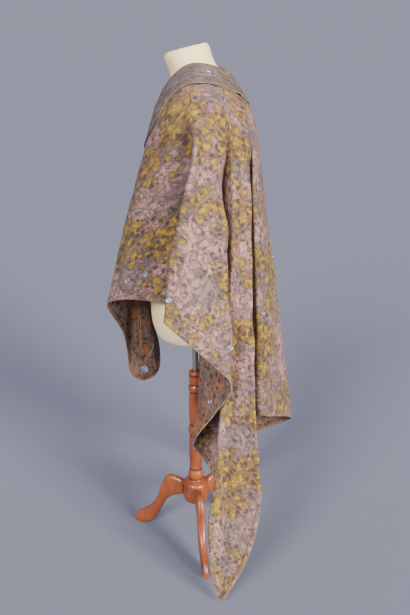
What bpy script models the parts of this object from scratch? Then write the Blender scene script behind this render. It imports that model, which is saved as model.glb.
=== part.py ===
"""A triangular cloth poncho on a dress form with a turned tripod stand.

Metres, +Z up. The form faces -Y and its left side is +X. Every shape is worked out
round the stand's own axis, and the root empty then centres the whole on the origin.
"""

import math
from collections import namedtuple

import bpy
from mathutils import Vector
from mathutils.bvhtree import BVHTree

# Where the stand's axis lies in the finished frame
STAND_X = -0.0002
STAND_Y = -0.0202

# Cloth
WALL = 0.0018
SEAM_GAP = 0.0003
REST_GAP = 0.0008

# Head slit, spread open round the neck
SLIT_HALF_WIDTH = 0.066
SLIT_HALF_LENGTH = 0.084
SLIT_CENTRE_Y = 0.006
SLIT_SIDE_HEIGHT = 1.361
SLIT_FRONT_DROP = 0.070
SLIT_BACK_DROP = 0.026

# Crest, the loop round the shoulders where the cloth turns down
CREST_HALF_WIDTH = 0.190
CREST_HALF_DEPTH = 0.124
CREST_CENTRE_Y = 0.024
CREST_HEIGHT = 1.250

# Shares of a run from slit to hem, and how much of the crest is turned round
YOKE_END = 0.14
FALL_START = 0.30
YOKE_STRAIGHT = 0.55
FALL_STRAIGHT = 0.12
RUN_SHARES = (0.0, 0.07, 0.14, 0.18, 0.22, 0.26, 0.30, 0.37, 0.44, 0.52, 0.60, 0.68, 0.76, 0.84, 0.92, 1.0)

# One row for each fold, round the hem from the front seam over the left side to the back
# and home. The crest angle runs from the front over the left. The bow is how far the fall
# swings out at half its length. Rounding 1 is a soft fold and 0.3 a sharp one.
Fold = namedtuple("Fold", "name crest_angle hem_x hem_y hem_z bow_x bow_y rounding")
FOLDS = (
    Fold("corner a, front seam", -5, -0.105, -0.150, 0.462, 0.00, -0.03, 1.0),
    Fold("corner a left", 0, -0.082, -0.200, 0.500, 0.00, -0.02, 0.9),
    Fold("front edge", 7, -0.045, -0.196, 0.640, 0.00, -0.01, 0.8),
    Fold("front ridge", 16, 0.020, -0.247, 0.756, 0.00, 0.00, 0.5),
    Fold("front panel", 38, 0.110, -0.160, 0.800, 0.00, 0.00, 1.0),
    Fold("side valley", 66, 0.162, 0.012, 0.790, 0.00, 0.00, 0.5),
    Fold("side ridge front", 83, 0.283, -0.078, 0.803, 0.00, 0.00, 0.5),
    Fold("side panel", 99, 0.300, 0.004, 0.735, 0.00, 0.00, 1.0),
    Fold("side ridge back", 114, 0.292, 0.102, 0.640, 0.00, 0.002, 0.5),
    Fold("tail valley front", 117, 0.160, -0.014, 0.400, -0.012, 0.00, 0.8),
    Fold("tail valley back", 119, 0.142, 0.008, 0.374, -0.012, 0.00, 0.8),
    Fold("tail ridge front", 122, 0.250, 0.046, 0.335, 0.00, 0.012, 0.6),
    Fold("tail edge front", 127, 0.290, 0.031, 0.150, 0.00, 0.016, 1.0),
    Fold("corner b", 135, 0.302, 0.068, 0.002, 0.01, 0.009, 0.3),
    Fold("tail edge back", 142, 0.304, 0.145, 0.160, 0.02, 0.00, 1.0),
    Fold("tail ridge back", 148, 0.298, 0.172, 0.330, 0.02, -0.01, 0.5),
    Fold("back valley", 154, 0.085, 0.120, 0.480, 0.00, 0.00, 0.6),
    Fold("back edge", 160, 0.150, 0.182, 0.497, 0.00, 0.006, 0.4),
    Fold("back ridge and seam", 177, -0.020, 0.287, 0.390, 0.00, 0.00, 0.7),
    Fold("back right panel", 186, -0.080, 0.262, 0.345, 0.00, 0.00, 0.8),
    Fold("right back valley", 196, -0.105, 0.140, 0.300, 0.00, 0.00, 0.7),
    Fold("right back ridge", 209, -0.230, 0.225, 0.190, 0.00, 0.00, 0.6),
    Fold("right tail edge", 216, -0.290, 0.200, 0.090, 0.00, 0.00, 1.0),
    Fold("corner c", 222, -0.304, 0.150, 0.002, 0.00, 0.00, 0.3),
    Fold("right tail ridge", 230, -0.280, 0.075, 0.280, 0.00, 0.02, 0.6),
    Fold("right valley back", 236, -0.125, 0.050, 0.440, 0.00, 0.00, 0.8),
    Fold("right valley front", 242, -0.142, -0.004, 0.460, 0.00, 0.00, 0.8),
    Fold("right side ridge", 253, -0.290, 0.040, 0.600, 0.00, 0.00, 0.5),
    Fold("right side panel", 271, -0.290, -0.070, 0.690, 0.00, 0.00, 1.0),
    Fold("right side valley", 294, -0.168, 0.000, 0.775, 0.00, 0.00, 0.6),
    Fold("right front ridge", 322, -0.220, -0.190, 0.710, 0.00, 0.00, 0.6),
    Fold("front right edge", 347, -0.175, -0.115, 0.575, 0.00, -0.03, 0.8),
    Fold("corner a right", 351, -0.128, -0.105, 0.490, 0.00, -0.03, 0.9),
)
FRONT_SEAM = 0
BACK_SEAM = 18
FOLD_TURNS = (-0.5, -0.17, 0.17, 0.5)

# Dress form: the neck, the shoulders that the cloth lies on, and the torso
Ring = namedtuple("Ring", "name height half_width half_depth centre_y tilt")
NECK_RINGS = (
    Ring("neck top", 1.398, 0.044, 0.048, -0.018, 0.24),
    Ring("neck rim", 1.391, 0.052, 0.056, -0.018, 0.24),
    Ring("neck", 1.365, 0.053, 0.056, -0.010, 0.12),
    Ring("neck base", 1.345, 0.055, 0.058, 0.001, 0.12),
    Ring("collar", 1.325, 0.066, 0.066, 0.011, 0.20),
)
SHOULDER_SHARES = (0.40, 0.48, 0.55)
SHOULDER_TURNS = (0.3, 0.6, 0.9)
SHOULDER_MARGIN = 0.0045
SHOULDER_MARGIN_GAIN = 0.009
TORSO_RINGS = (
    Ring("arm", 1.195, 0.178, 0.117, 0.016, 0.0),
    Ring("chest", 1.140, 0.166, 0.122, 0.008, 0.0),
    Ring("bust", 1.080, 0.158, 0.125, 0.002, 0.0),
    Ring("ribs", 1.000, 0.142, 0.116, 0.000, 0.0),
    Ring("waist", 0.920, 0.128, 0.104, -0.002, 0.0),
    Ring("high hip", 0.840, 0.136, 0.110, -0.004, 0.0),
    Ring("hip", 0.760, 0.144, 0.115, -0.006, 0.0),
    Ring("low hip", 0.705, 0.142, 0.110, -0.008, 0.0),
    Ring("bottom rim", 0.672, 0.132, 0.098, -0.010, 0.0),
    Ring("bottom", 0.664, 0.114, 0.078, -0.012, 0.0),
)
FORM_SIDES = 40

# Flaps beside the slit
FLAP_WIDTH = 0.068
FLAP_FRONT_REACH = 0.085
FLAP_BACK_REACH = 0.015
FLAP_TAPER = 6
FLAP_ROWS = 5
FLAP_LIFT = 0.0012
FLAP_WALL = 0.0012

# Eyelet in the front corner, a ring on each face of the cloth
EYELET_PLACE = -0.05
EYELET_SHARE = 0.962
EYELET_HOLE = 0.0090
EYELET_INSIDE = 0.0086
EYELET_OUTSIDE = 0.0145
EYELET_LIFT = 0.0005
EYELET_HEIGHT = 0.0014
EYELET_SIDES = 20

# Corner patches, sewn over the corners on the face that shows: the middle and the reach each
# way, in folds round the hem, and the shares of the run at the middle and at the ends of the
# patch's top edge
Patch = namedtuple("Patch", "name middle reach middle_top end_top face")
PATCHES = (
    Patch("patch_a", 0, 0.85, 0.935, 0.895, -1),
    Patch("patch_b", 13, 0.5, 0.952, 0.982, 1),
    Patch("patch_c", 23, 0.5, 0.952, 0.982, 1),
)
PATCH_LOW_SHARE = 0.991
PATCH_ROWS = 3
PATCH_LIFT = 0.0006
PATCH_WALL = 0.0010

# Buttons: where each is sewn, in folds round the hem and as a share of the run, and on
# which face, the outer (1) or the inner (-1)
Button = namedtuple("Button", "name place share face")
BUTTONS = (
    Button("button_front_a", 3.75, 0.910, 1),
    Button("button_front_b", 4.15, 0.880, 1),
    Button("button_side_front", 6.15, 0.905, 1),
    Button("button_side_back", 7.85, 0.895, 1),
    Button("button_tail", 8.55, 0.945, -1),
    Button("button_back", 16.85, 0.720, 1),
    Button("button_right_front_a", 30.35, 0.910, 1),
    Button("button_right_front_b", 29.75, 0.890, 1),
    Button("button_right_side", 28.10, 0.895, 1),
    Button("button_right_tail", 26.60, 0.945, -1),
    Button("button_right_back", 20.45, 0.740, 1),
)
FLAP_BUTTON = Button("button_flap", 7.45, 0.050, 1)
# The button's outline from its face down to the thread shank
ButtonLevel = namedtuple("ButtonLevel", "name height radius")
BUTTON_LEVELS = (
    ButtonLevel("dished middle", 0.0026, 0.0028),
    ButtonLevel("rim", 0.0034, 0.0060),
    ButtonLevel("edge", 0.0024, 0.0073),
    ButtonLevel("underside", 0.0014, 0.0066),
    ButtonLevel("shank top", 0.0014, 0.0022),
    ButtonLevel("shank foot", 0.0004, 0.0022),
)
BUTTON_SIDES = 12

# Stand
ROD_RADIUS = 0.008
ROD_BOTTOM = 0.500
ROD_TOP = 0.700
Turning = namedtuple("Turning", "name height radius")
COLUMN_PROFILE = (
    Turning("top edge", 0.548, 0.0170),
    Turning("top rim", 0.544, 0.0195),
    Turning("upper shaft", 0.520, 0.0190),
    Turning("first groove", 0.508, 0.0170),
    Turning("first bead", 0.496, 0.0205),
    Turning("under first bead", 0.484, 0.0172),
    Turning("shaft", 0.470, 0.0188),
    Turning("shaft middle", 0.430, 0.0194),
    Turning("shaft foot", 0.390, 0.0184),
    Turning("second groove", 0.380, 0.0170),
    Turning("second bead", 0.364, 0.0212),
    Turning("under second bead", 0.346, 0.0172),
    Turning("lower shaft", 0.330, 0.0190),
    Turning("lower shaft middle", 0.280, 0.0192),
    Turning("lower neck", 0.234, 0.0165),
    Turning("third bead", 0.218, 0.0230),
    Turning("third groove", 0.204, 0.0195),
    Turning("hub shoulder", 0.196, 0.0330),
    Turning("hub ring", 0.188, 0.0375),
    Turning("hub", 0.136, 0.0375),
    Turning("hub edge", 0.128, 0.0300),
    Turning("hub drop", 0.122, 0.0180),
)
COLUMN_SIDES = 20
HUB_RADIUS = 0.0375
# Legs, a row for each section from the hub out: reach, the heights of the upper and the
# lower edge, and the width across
LegSection = namedtuple("LegSection", "name reach top low width")
LEG_SECTIONS = (
    LegSection("root", 0.0, 0.186, 0.138, 0.024),
    LegSection("shoulder", 0.040, 0.200, 0.126, 0.024),
    LegSection("knee", 0.066, 0.186, 0.094, 0.024),
    LegSection("shin", 0.080, 0.132, 0.058, 0.023),
    LegSection("ankle", 0.100, 0.082, 0.026, 0.022),
    LegSection("instep", 0.126, 0.060, 0.000, 0.022),
    LegSection("toe", 0.152, 0.044, 0.000, 0.020),
    LegSection("toe tip", 0.166, 0.022, 0.004, 0.014),
)
LEG_EASE = 0.3
LEG_ANGLES = {"leg_near": 98.7, "leg_back": 218.7, "leg_front": 338.7}

UP = Vector((0.0, 0.0, 1.0))
SEAT_REACH = 0.012


def clear_scene():
    for old in list(bpy.data.objects):
        bpy.data.objects.remove(old, do_unlink=True)


def make_material(name, colour, roughness, metallic=0.0):
    material = bpy.data.materials.new(name)
    material.use_nodes = True
    shader = material.node_tree.nodes["Principled BSDF"]
    shader.inputs["Base Color"].default_value = (*colour, 1.0)
    shader.inputs["Roughness"].default_value = roughness
    shader.inputs["Metallic"].default_value = metallic
    return material


def make_object(name, mesh, material, root):
    mesh.materials.append(material)
    part = bpy.data.objects.new(name, mesh)
    part.parent = root
    bpy.context.scene.collection.objects.link(part)
    return part


def mesh_from(name, points, faces):
    mesh = bpy.data.meshes.new(name)
    mesh.from_pydata([tuple(point) for point in points], [], faces)
    mesh.shade_smooth()
    return mesh


def skinned(name, rings):
    """Skin a list of rings with the same number of points, from the top down, ends filled."""
    count = len(rings[0])
    points = [point for ring in rings for point in ring]
    faces = []
    for level in range(len(rings) - 1):
        here = level * count
        below = here + count
        for side in range(count):
            after = (side + 1) % count
            faces.append((here + side, below + side, below + after, here + after))
    faces.append(tuple(range(count)))
    last = (len(rings) - 1) * count
    faces.append(tuple(last + side for side in reversed(range(count))))
    return mesh_from(name, points, faces)


def angles_round(sides):
    return [2 * math.pi * side / sides for side in range(sides)]


def ring_points(row, sides):
    points = []
    for angle in angles_round(sides):
        deep = -row.half_depth * math.cos(angle)
        wide = row.half_width * math.sin(angle)
        points.append(Vector((wide, row.centre_y + deep, row.height + row.tilt * deep)))
    return points


def turned(name, rows, sides):
    """A turning from rows of height and radius, from the top down."""
    circles = [Ring(name, height, radius, radius, 0.0, 0.0) for height, radius in rows]
    return skinned(name, [ring_points(circle, sides) for circle in circles])


# The cloth's free surface


def fold_at(index):
    return FOLDS[index % len(FOLDS)]


def fold_weights(place):
    """The shares of the three nearest folds at a place round the hem, counted in folds."""
    nearest = math.floor(place + 0.5)
    offset = place - nearest
    half = fold_at(nearest).rounding / 2
    if abs(offset) >= half:
        before, after = max(-offset, 0.0), max(offset, 0.0)
    else:
        turn = (offset / half + 1) / 2
        before, after = half * (1 - turn) ** 2, half * turn ** 2
    return ((nearest - 1, before), (nearest, 1 - before - after), (nearest + 1, after))


def crest_angle(place):
    turns = 0.0
    for index, weight in fold_weights(place):
        turns += weight * (fold_at(index).crest_angle + 360 * (index // len(FOLDS)))
    return math.radians(turns)


def crest_point(angle):
    return Vector((CREST_HALF_WIDTH * math.sin(angle),
                   CREST_CENTRE_Y - CREST_HALF_DEPTH * math.cos(angle), CREST_HEIGHT))


def slit_point(angle):
    ahead = math.cos(angle)
    drop = SLIT_FRONT_DROP if ahead > 0 else SLIT_BACK_DROP
    return Vector((SLIT_HALF_WIDTH * math.sin(angle), SLIT_CENTRE_Y - SLIT_HALF_LENGTH * ahead,
                   SLIT_SIDE_HEIGHT - drop * ahead ** 2))


def hem_and_bow(place):
    hem = Vector((0.0, 0.0, 0.0))
    bow = Vector((0.0, 0.0, 0.0))
    for index, weight in fold_weights(place):
        fold = fold_at(index)
        hem += weight * Vector((fold.hem_x, fold.hem_y, fold.hem_z))
        bow += weight * Vector((fold.bow_x, fold.bow_y, 0.0))
    return hem, bow


def turn_point(start, corner, end, share):
    """A point on the round turn from start past a corner to end."""
    return start.lerp(corner, share).lerp(corner.lerp(end, share), share)


def run_point(place, share):
    """A point of the cloth's inner face, on the run from slit (0) over crest to hem (1)."""
    angle = crest_angle(place)
    slit = slit_point(angle)
    crest = crest_point(angle)
    hem, bow = hem_and_bow(place)

    def fall(part):
        return crest.lerp(hem, part) + bow * (4 * part * (1 - part))

    if share <= YOKE_END:
        return slit.lerp(crest, YOKE_STRAIGHT * share / YOKE_END)
    if share >= FALL_START:
        part = (share - FALL_START) / (1 - FALL_START)
        return fall(FALL_STRAIGHT + (1 - FALL_STRAIGHT) * part)
    turn = (share - YOKE_END) / (FALL_START - YOKE_END)
    return turn_point(slit.lerp(crest, YOKE_STRAIGHT), crest, fall(FALL_STRAIGHT), turn)


def fold_places(first, last):
    """Places for the columns from one seam to the other, close together where a fold turns."""
    places = {float(first), float(last)}
    for index in range(first, last + 1):
        places.update(round(index + turn * fold_at(index).rounding, 4) for turn in FOLD_TURNS)
    return sorted(place for place in places if first <= place <= last)


def seam_shift(edge, beside, down):
    """The step back from the seam, square to it."""
    aside = beside - edge
    return (aside - aside.project(down)).normalized() * SEAM_GAP


def panel_grid(first, last):
    """The inner face of one half of the cloth: a row for each share, a column for each place."""
    places = fold_places(first, last)
    grid = [[run_point(place, share) for place in places] for share in RUN_SHARES]
    rows = len(grid)
    shifts = []
    for row, line in enumerate(grid):
        above, below = grid[max(row - 1, 0)], grid[min(row + 1, rows - 1)]
        shifts.append((seam_shift(line[0], line[1], below[0] - above[0]),
                       seam_shift(line[-1], line[-2], below[-1] - above[-1])))
    for line, (first_shift, last_shift) in zip(grid, shifts):
        line[0] = line[0] + first_shift
        line[-1] = line[-1] + last_shift
    return grid


def sheet_normals(grid):
    """Outward directions of a grid of rows from slit to hem and columns round the hem."""
    rows, columns = len(grid), len(grid[0])
    normals = []
    for row in range(rows):
        line = []
        for column in range(columns):
            down = grid[min(row + 1, rows - 1)][column] - grid[max(row - 1, 0)][column]
            along = grid[row][min(column + 1, columns - 1)] - grid[row][max(column - 1, 0)]
            line.append(down.cross(along).normalized())
        normals.append(line)
    return normals


def lifted(grid, normals, height):
    return [[point + normal * height for point, normal in zip(line, aims)]
            for line, aims in zip(grid, normals)]


def walled(name, inner, outer):
    """A closed wall between two grids of the same size."""
    rows, columns = len(inner), len(inner[0])
    points = [point for line in inner for point in line] + [point for line in outer for point in line]
    half = rows * columns

    def at(row, column):
        return row * columns + column

    faces = []
    for row in range(rows - 1):
        for column in range(columns - 1):
            corner, right = at(row, column), at(row, column + 1)
            below, opposite = at(row + 1, column), at(row + 1, column + 1)
            for face in ((corner, right, opposite), (corner, opposite, below)):
                faces.append(face)
                faces.append(tuple(half + point for point in reversed(face)))
    border = [at(0, column) for column in range(columns)]
    border += [at(row, columns - 1) for row in range(1, rows)]
    border += [at(rows - 1, column) for column in range(columns - 2, -1, -1)]
    border += [at(row, 0) for row in range(rows - 2, 0, -1)]
    for index, corner in enumerate(border):
        after = border[(index + 1) % len(border)]
        faces.append((after, corner, half + corner, half + after))
    return mesh_from(name, points, faces)


def panel_mesh(name, grid):
    return walled(name, grid, lifted(grid, sheet_normals(grid), WALL))


# Flaps, made from the panels' own points


def flap_length(angle):
    ahead = math.cos(angle)
    reach = FLAP_FRONT_REACH if ahead > 0 else FLAP_BACK_REACH
    return FLAP_WIDTH + reach * ahead ** FLAP_TAPER


def flap_stops(column, length):
    """Row positions, with a fraction, at even steps of a length down one column of points."""
    stops = []
    for step in range(FLAP_ROWS + 1):
        left = length * step / FLAP_ROWS
        row = 0
        while left > (column[row + 1] - column[row]).length:
            left -= (column[row + 1] - column[row]).length
            row += 1
        stops.append(row + left / (column[row + 1] - column[row]).length)
    return stops


def between_rows(sheet, column, stop):
    return sheet[int(stop)][column].lerp(sheet[int(stop) + 1][column], stop % 1)


def flap_mesh(name, grid, first, last):
    """A strip that lies on the wall, on the columns of its points."""
    normals = sheet_normals(grid)
    low = lifted(grid, normals, WALL + FLAP_LIFT)
    high = lifted(grid, normals, WALL + FLAP_LIFT + FLAP_WALL)
    layers = ([], [])
    for column, place in enumerate(fold_places(first, last)):
        stops = flap_stops([line[column] for line in low], flap_length(crest_angle(place)))
        for layer, sheet in zip(layers, (low, high)):
            layer.append([between_rows(sheet, column, stop) for stop in stops])
    inner, outer = ([list(line) for line in zip(*layer)] for layer in layers)
    return walled(name, inner, outer)


# Buttons and eyelet, seated on the walls they are fixed to


def outward(place, share):
    """The cloth's outward direction at a place."""
    step = 0.01
    down = run_point(place, min(share + step, 1.0)) - run_point(place, share - step)
    along = run_point(place + step, share) - run_point(place - step, share)
    return down.cross(along).normalized()


def tree_of(*parts):
    """One search tree for the walls of several pieces."""
    points, faces = [], []
    for part in parts:
        start = len(points)
        points += [vertex.co for vertex in part.data.vertices]
        faces += [[start + corner for corner in face.vertices] for face in part.data.polygons]
    return BVHTree.FromPolygons(points, faces)


def seat_on(tree, place, share, face):
    """Where a line square to the cloth meets the wall, and the direction away from it there."""
    away = outward(place, share) * face
    start = run_point(place, share) + away * SEAT_REACH
    spot, normal, _, _ = tree.ray_cast(start, -away)
    return spot, normal


def place_on(part, spot, normal):
    part.location = spot
    part.rotation_euler = normal.to_track_quat("Z", "Y").to_euler()


def button_mesh():
    return turned("button", [(level.height, level.radius) for level in BUTTON_LEVELS], BUTTON_SIDES)


def eyelet_mesh(name, tree, face):
    """A low ring that follows the wall round the eyelet's hole."""
    spot, _ = seat_on(tree, EYELET_PLACE, EYELET_SHARE, face)
    away = outward(EYELET_PLACE, EYELET_SHARE) * face
    aside = away.cross(UP).normalized()
    upward = away.cross(aside)
    points = []
    for angle in angles_round(EYELET_SIDES):
        toward = aside * math.cos(angle) + upward * math.sin(angle)
        inside, outside = (tree.ray_cast(spot + toward * radius + away * SEAT_REACH, -away)[0]
                           for radius in (EYELET_INSIDE, EYELET_OUTSIDE))
        low = away * EYELET_LIFT
        middle = away * (EYELET_LIFT + EYELET_HEIGHT / 2)
        crown = inside.lerp(outside, 0.5) + away * (EYELET_LIFT + EYELET_HEIGHT)
        points += [inside + low, outside + low, outside + middle, crown, inside + middle]
    corners = len(points) // EYELET_SIDES
    faces = []
    for side in range(EYELET_SIDES):
        here, after = side * corners, (side + 1) % EYELET_SIDES * corners
        for corner in range(corners):
            beside = (corner + 1) % corners
            faces.append((here + corner, after + corner, after + beside, here + beside))
    return mesh_from(name, points, faces)


def cut_eyelet_hole(parts, tree, root):
    """Drill the layers of the corner, square to it."""
    depth = 2 * EYELET_HOLE
    drill = turned("eyelet_cutter", [(depth, EYELET_HOLE), (-depth, EYELET_HOLE)], EYELET_SIDES)
    cutter = bpy.data.objects.new("eyelet_cutter", drill)
    cutter.parent = root
    cutter.hide_render = True
    cutter.display_type = "WIRE"
    bpy.context.scene.collection.objects.link(cutter)
    spot, _ = seat_on(tree, EYELET_PLACE, EYELET_SHARE, 1)
    place_on(cutter, spot, outward(EYELET_PLACE, EYELET_SHARE))
    for part in parts:
        hole = part.modifiers.new("eyelet_hole", "BOOLEAN")
        hole.operation = "DIFFERENCE"
        hole.object = cutter


def patch_mesh(row, tree):
    """A corner patch that follows the wall under it, on the columns of the wall's points."""
    places = [place for place in fold_places(row.middle - 1, row.middle + 1)
              if abs(place - row.middle) <= row.reach]
    near, far = [], []
    for step in range(PATCH_ROWS + 1):
        spots, aways = [], []
        for place in places:
            top = row.middle_top + (row.end_top - row.middle_top) * abs(place - row.middle) / row.reach
            share = top + (PATCH_LOW_SHARE - top) * step / PATCH_ROWS
            spots.append(seat_on(tree, place, share, row.face)[0])
            aways.append(outward(place, share) * row.face)
        near.append([spot + away * PATCH_LIFT for spot, away in zip(spots, aways)])
        far.append([spot + away * (PATCH_LIFT + PATCH_WALL) for spot, away in zip(spots, aways)])
    return walled(row.name, near, far) if row.face > 0 else walled(row.name, far, near)


# The form, whose shoulders carry the cloth


def shoulder_ring(share, turn):
    """A ring under the cloth: on its straight yoke, or round the turn of the crest."""
    points = []
    for angle in angles_round(FORM_SIDES):
        slit = slit_point(angle)
        crest = crest_point(angle)
        out = (crest - slit).normalized()
        across = Vector((math.cos(angle), math.sin(angle), 0.0))
        normal = out.cross(across).normalized()
        if turn is None:
            points.append(slit.lerp(crest, share) - normal * REST_GAP)
        else:
            below = crest - UP * (CREST_HEIGHT - TORSO_RINGS[0].height)
            point = turn_point(slit.lerp(crest, YOKE_STRAIGHT), crest, below, turn)
            margin = SHOULDER_MARGIN + SHOULDER_MARGIN_GAIN * turn
            centre = Vector((0.0, CREST_CENTRE_Y, point.z - SHOULDER_MARGIN_GAIN))
            points.append(point + (centre - point).normalized() * margin)
    return points


def form_mesh():
    rings = [ring_points(row, FORM_SIDES) for row in NECK_RINGS]
    rings += [shoulder_ring(share, None) for share in SHOULDER_SHARES]
    rings += [shoulder_ring(None, turn) for turn in SHOULDER_TURNS]
    rings += [ring_points(row, FORM_SIDES) for row in TORSO_RINGS]
    bore = ROD_RADIUS + SEAM_GAP
    for height in (TORSO_RINGS[-1].height, ROD_TOP + SEAM_GAP):
        rings.append(ring_points(Ring("bore", height, bore, bore, 0.0, 0.0), FORM_SIDES))
    return skinned("form", rings)


# The stand


def column_mesh():
    bore = ROD_RADIUS + SEAM_GAP
    rows = [(ROD_BOTTOM - SEAM_GAP, bore), (COLUMN_PROFILE[0].height, bore)]
    rows += [(row.height, row.radius) for row in COLUMN_PROFILE]
    return turned("column", rows, COLUMN_SIDES)


def rod_mesh():
    return turned("rod", [(ROD_TOP, ROD_RADIUS), (ROD_BOTTOM, ROD_RADIUS)], COLUMN_SIDES)


def leg_mesh(name, angle):
    """A flat cabriole leg: eight-sided sections from the hub to the toe."""
    out = Vector((math.sin(math.radians(angle)), -math.cos(math.radians(angle)), 0.0))
    across = out.cross(UP)
    rings = []
    for section in LEG_SECTIONS:
        middle = out * (HUB_RADIUS + SEAM_GAP + section.reach)
        half = section.width / 2
        top, low = section.top, section.low
        ease = LEG_EASE * min(section.width, top - low)
        outline = ((-half, low + ease), (-half + ease, low), (half - ease, low), (half, low + ease),
                   (half, top - ease), (half - ease, top), (-half + ease, top), (-half, top - ease))
        rings.append([middle + across * aside + UP * height for aside, height in outline])
    return skinned(name, rings)


def build():
    clear_scene()
    root = bpy.data.objects.new("root", None)
    root.location = (STAND_X, STAND_Y, 0.0)
    bpy.context.scene.collection.objects.link(root)

    cream = make_material("cream_cover", (0.86, 0.76, 0.58), 0.7)
    wood = make_material("varnished_wood", (0.30, 0.09, 0.035), 0.3)
    steel = make_material("steel", (0.6, 0.6, 0.6), 0.3, 1.0)
    cloth = make_material("printed_cotton", (0.36, 0.28, 0.25), 0.85)
    zinc = make_material("grey_metal", (0.42, 0.42, 0.43), 0.45, 0.8)

    make_object("form", form_mesh(), cream, root)
    make_object("rod", rod_mesh(), steel, root)
    make_object("column", column_mesh(), wood, root)
    for name, angle in LEG_ANGLES.items():
        make_object(name, leg_mesh(name, angle), wood, root)

    halves = {"left": (FRONT_SEAM, BACK_SEAM), "right": (BACK_SEAM, len(FOLDS))}
    panels, flaps = {}, {}
    for side, (first, last) in halves.items():
        grid = panel_grid(first, last)
        panels[side] = make_object("panel_" + side, panel_mesh("panel_" + side, grid), cloth, root)
        flaps[side] = make_object("flap_" + side, flap_mesh("flap_" + side, grid, first, last), cloth, root)
    wall = tree_of(*panels.values())
    patches = {row.name: make_object(row.name, patch_mesh(row, wall), cloth, root) for row in PATCHES}

    corner_layers = (*panels.values(), patches["patch_a"])
    corner = tree_of(*corner_layers)
    for name, face in (("eyelet_outer", 1), ("eyelet_inner", -1)):
        make_object(name, eyelet_mesh(name, corner, face), zinc, root)
    cut_eyelet_hole(corner_layers, corner, root)

    for row in BUTTONS:
        button = make_object(row.name, button_mesh(), zinc, root)
        place_on(button, *seat_on(wall, row.place, row.share, row.face))
    button = make_object(FLAP_BUTTON.name, button_mesh(), zinc, root)
    flap = tree_of(flaps["left"])
    place_on(button, *seat_on(flap, FLAP_BUTTON.place, FLAP_BUTTON.share, FLAP_BUTTON.face))


build()
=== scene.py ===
# %% [markdown]
# # A tent-cloth poncho on a dress form
# The object is a triangle of printed cotton with a slit for the head, worn over a limbless dress form on a
# turned wooden tripod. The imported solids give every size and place. This lesson dresses them: the cloth
# becomes a thin shell with soft creases, hems and stitches, and the stand gets its turned and varnished
# look.

# %% Load the solids
import math
from collections import namedtuple

import bpy
import numpy as np
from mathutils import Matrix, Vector
from mathutils.bvhtree import BVHTree


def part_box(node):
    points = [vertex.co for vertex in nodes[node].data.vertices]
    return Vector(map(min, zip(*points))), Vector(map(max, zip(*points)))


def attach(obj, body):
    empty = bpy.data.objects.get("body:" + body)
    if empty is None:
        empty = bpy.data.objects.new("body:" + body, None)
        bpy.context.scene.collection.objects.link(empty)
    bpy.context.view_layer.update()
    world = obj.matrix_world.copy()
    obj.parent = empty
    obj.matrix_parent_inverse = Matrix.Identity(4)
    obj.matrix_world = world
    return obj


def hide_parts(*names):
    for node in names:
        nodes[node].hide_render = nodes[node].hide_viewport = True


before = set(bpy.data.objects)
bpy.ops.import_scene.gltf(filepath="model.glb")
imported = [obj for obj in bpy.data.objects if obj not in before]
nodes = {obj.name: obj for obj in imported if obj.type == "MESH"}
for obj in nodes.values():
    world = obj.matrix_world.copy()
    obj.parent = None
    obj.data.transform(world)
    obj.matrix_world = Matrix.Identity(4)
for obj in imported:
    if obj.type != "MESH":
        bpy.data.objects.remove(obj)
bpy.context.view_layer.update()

# %% [markdown]
# ## Camera, floor and light
# The camera stands at the form's left, a little above the shoulders, and looks down by 19 degrees. Its
# focal length was found as 700 pixels for a picture of 410 by 615, and Blender's 36 mm sensor lies along
# the longer side. A wide floor and a world of one pale grey make a seamless studio: the floor has no gloss,
# and its grey is chosen so that under these lamps it is as bright as the world behind it. Two soft suns
# light it evenly, a key from the left and behind and a weaker fill from the left and the front, where area
# lights would leave the floor dark far away.

# %% Camera
PICTURE_LONG_SIDE = 615
FOCAL_PIXELS = 700
SENSOR_MM = 36.0
CAMERA_PLACE = (1.7998, 0.0068, 1.355)
CAMERA_DIP = math.radians(19.0)

camera = bpy.data.objects.new("camera", bpy.data.cameras.new("camera"))
camera.data.sensor_width = SENSOR_MM
camera.data.lens = SENSOR_MM * FOCAL_PIXELS / PICTURE_LONG_SIDE
camera.location = CAMERA_PLACE
aim = Vector((-math.cos(CAMERA_DIP), 0.0, -math.sin(CAMERA_DIP)))
camera.rotation_euler = aim.to_track_quat("-Z", "Y").to_euler()
bpy.context.scene.collection.objects.link(camera)
bpy.context.scene.camera = camera
print("camera lens mm", round(camera.data.lens, 2))


# %% Colour and node helpers
def colour(text):
    """An sRGB hex value as linear red, green, blue and alpha."""
    parts = [int(text[at:at + 2], 16) / 255 for at in (1, 3, 5)]
    linear = [part / 12.92 if part <= 0.04045 else ((part + 0.055) / 1.055) ** 2.4 for part in parts]
    return (*linear, 1.0)


def add_node(tree, kind, inputs=None, **settings):
    """Add a shader node with its settings, and give each input a value or a link."""
    node = tree.nodes.new("ShaderNode" + kind)
    for name, value in settings.items():
        setattr(node, name, value)
    for socket, value in (inputs or {}).items():
        if isinstance(value, bpy.types.NodeSocket):
            tree.links.new(value, node.inputs[socket])
        else:
            node.inputs[socket].default_value = value
    return node


def two_tones(tree, part, first, second):
    """A mix of two colours, by a value from 0 to 1."""
    return add_node(tree, "Mix", {0: part, 6: colour(first), 7: colour(second)}, data_type="RGBA").outputs[2]


def solid_noise(tree, place, size_mm, detail=2.0):
    """A noise of a given size through a solid piece."""
    return add_node(tree, "TexNoise", {"Vector": place, "Scale": 1000 / size_mm, "Detail": detail}).outputs[0]


def new_material(name, **values):
    """A material with its Principled shader's plain values set on the sockets themselves."""
    material = bpy.data.materials.new(name)
    material.use_nodes = True
    shader = material.node_tree.nodes["Principled BSDF"]
    for socket, value in values.items():
        shader.inputs[socket.replace("_", " ")].default_value = value
    return material, material.node_tree, shader


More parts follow.
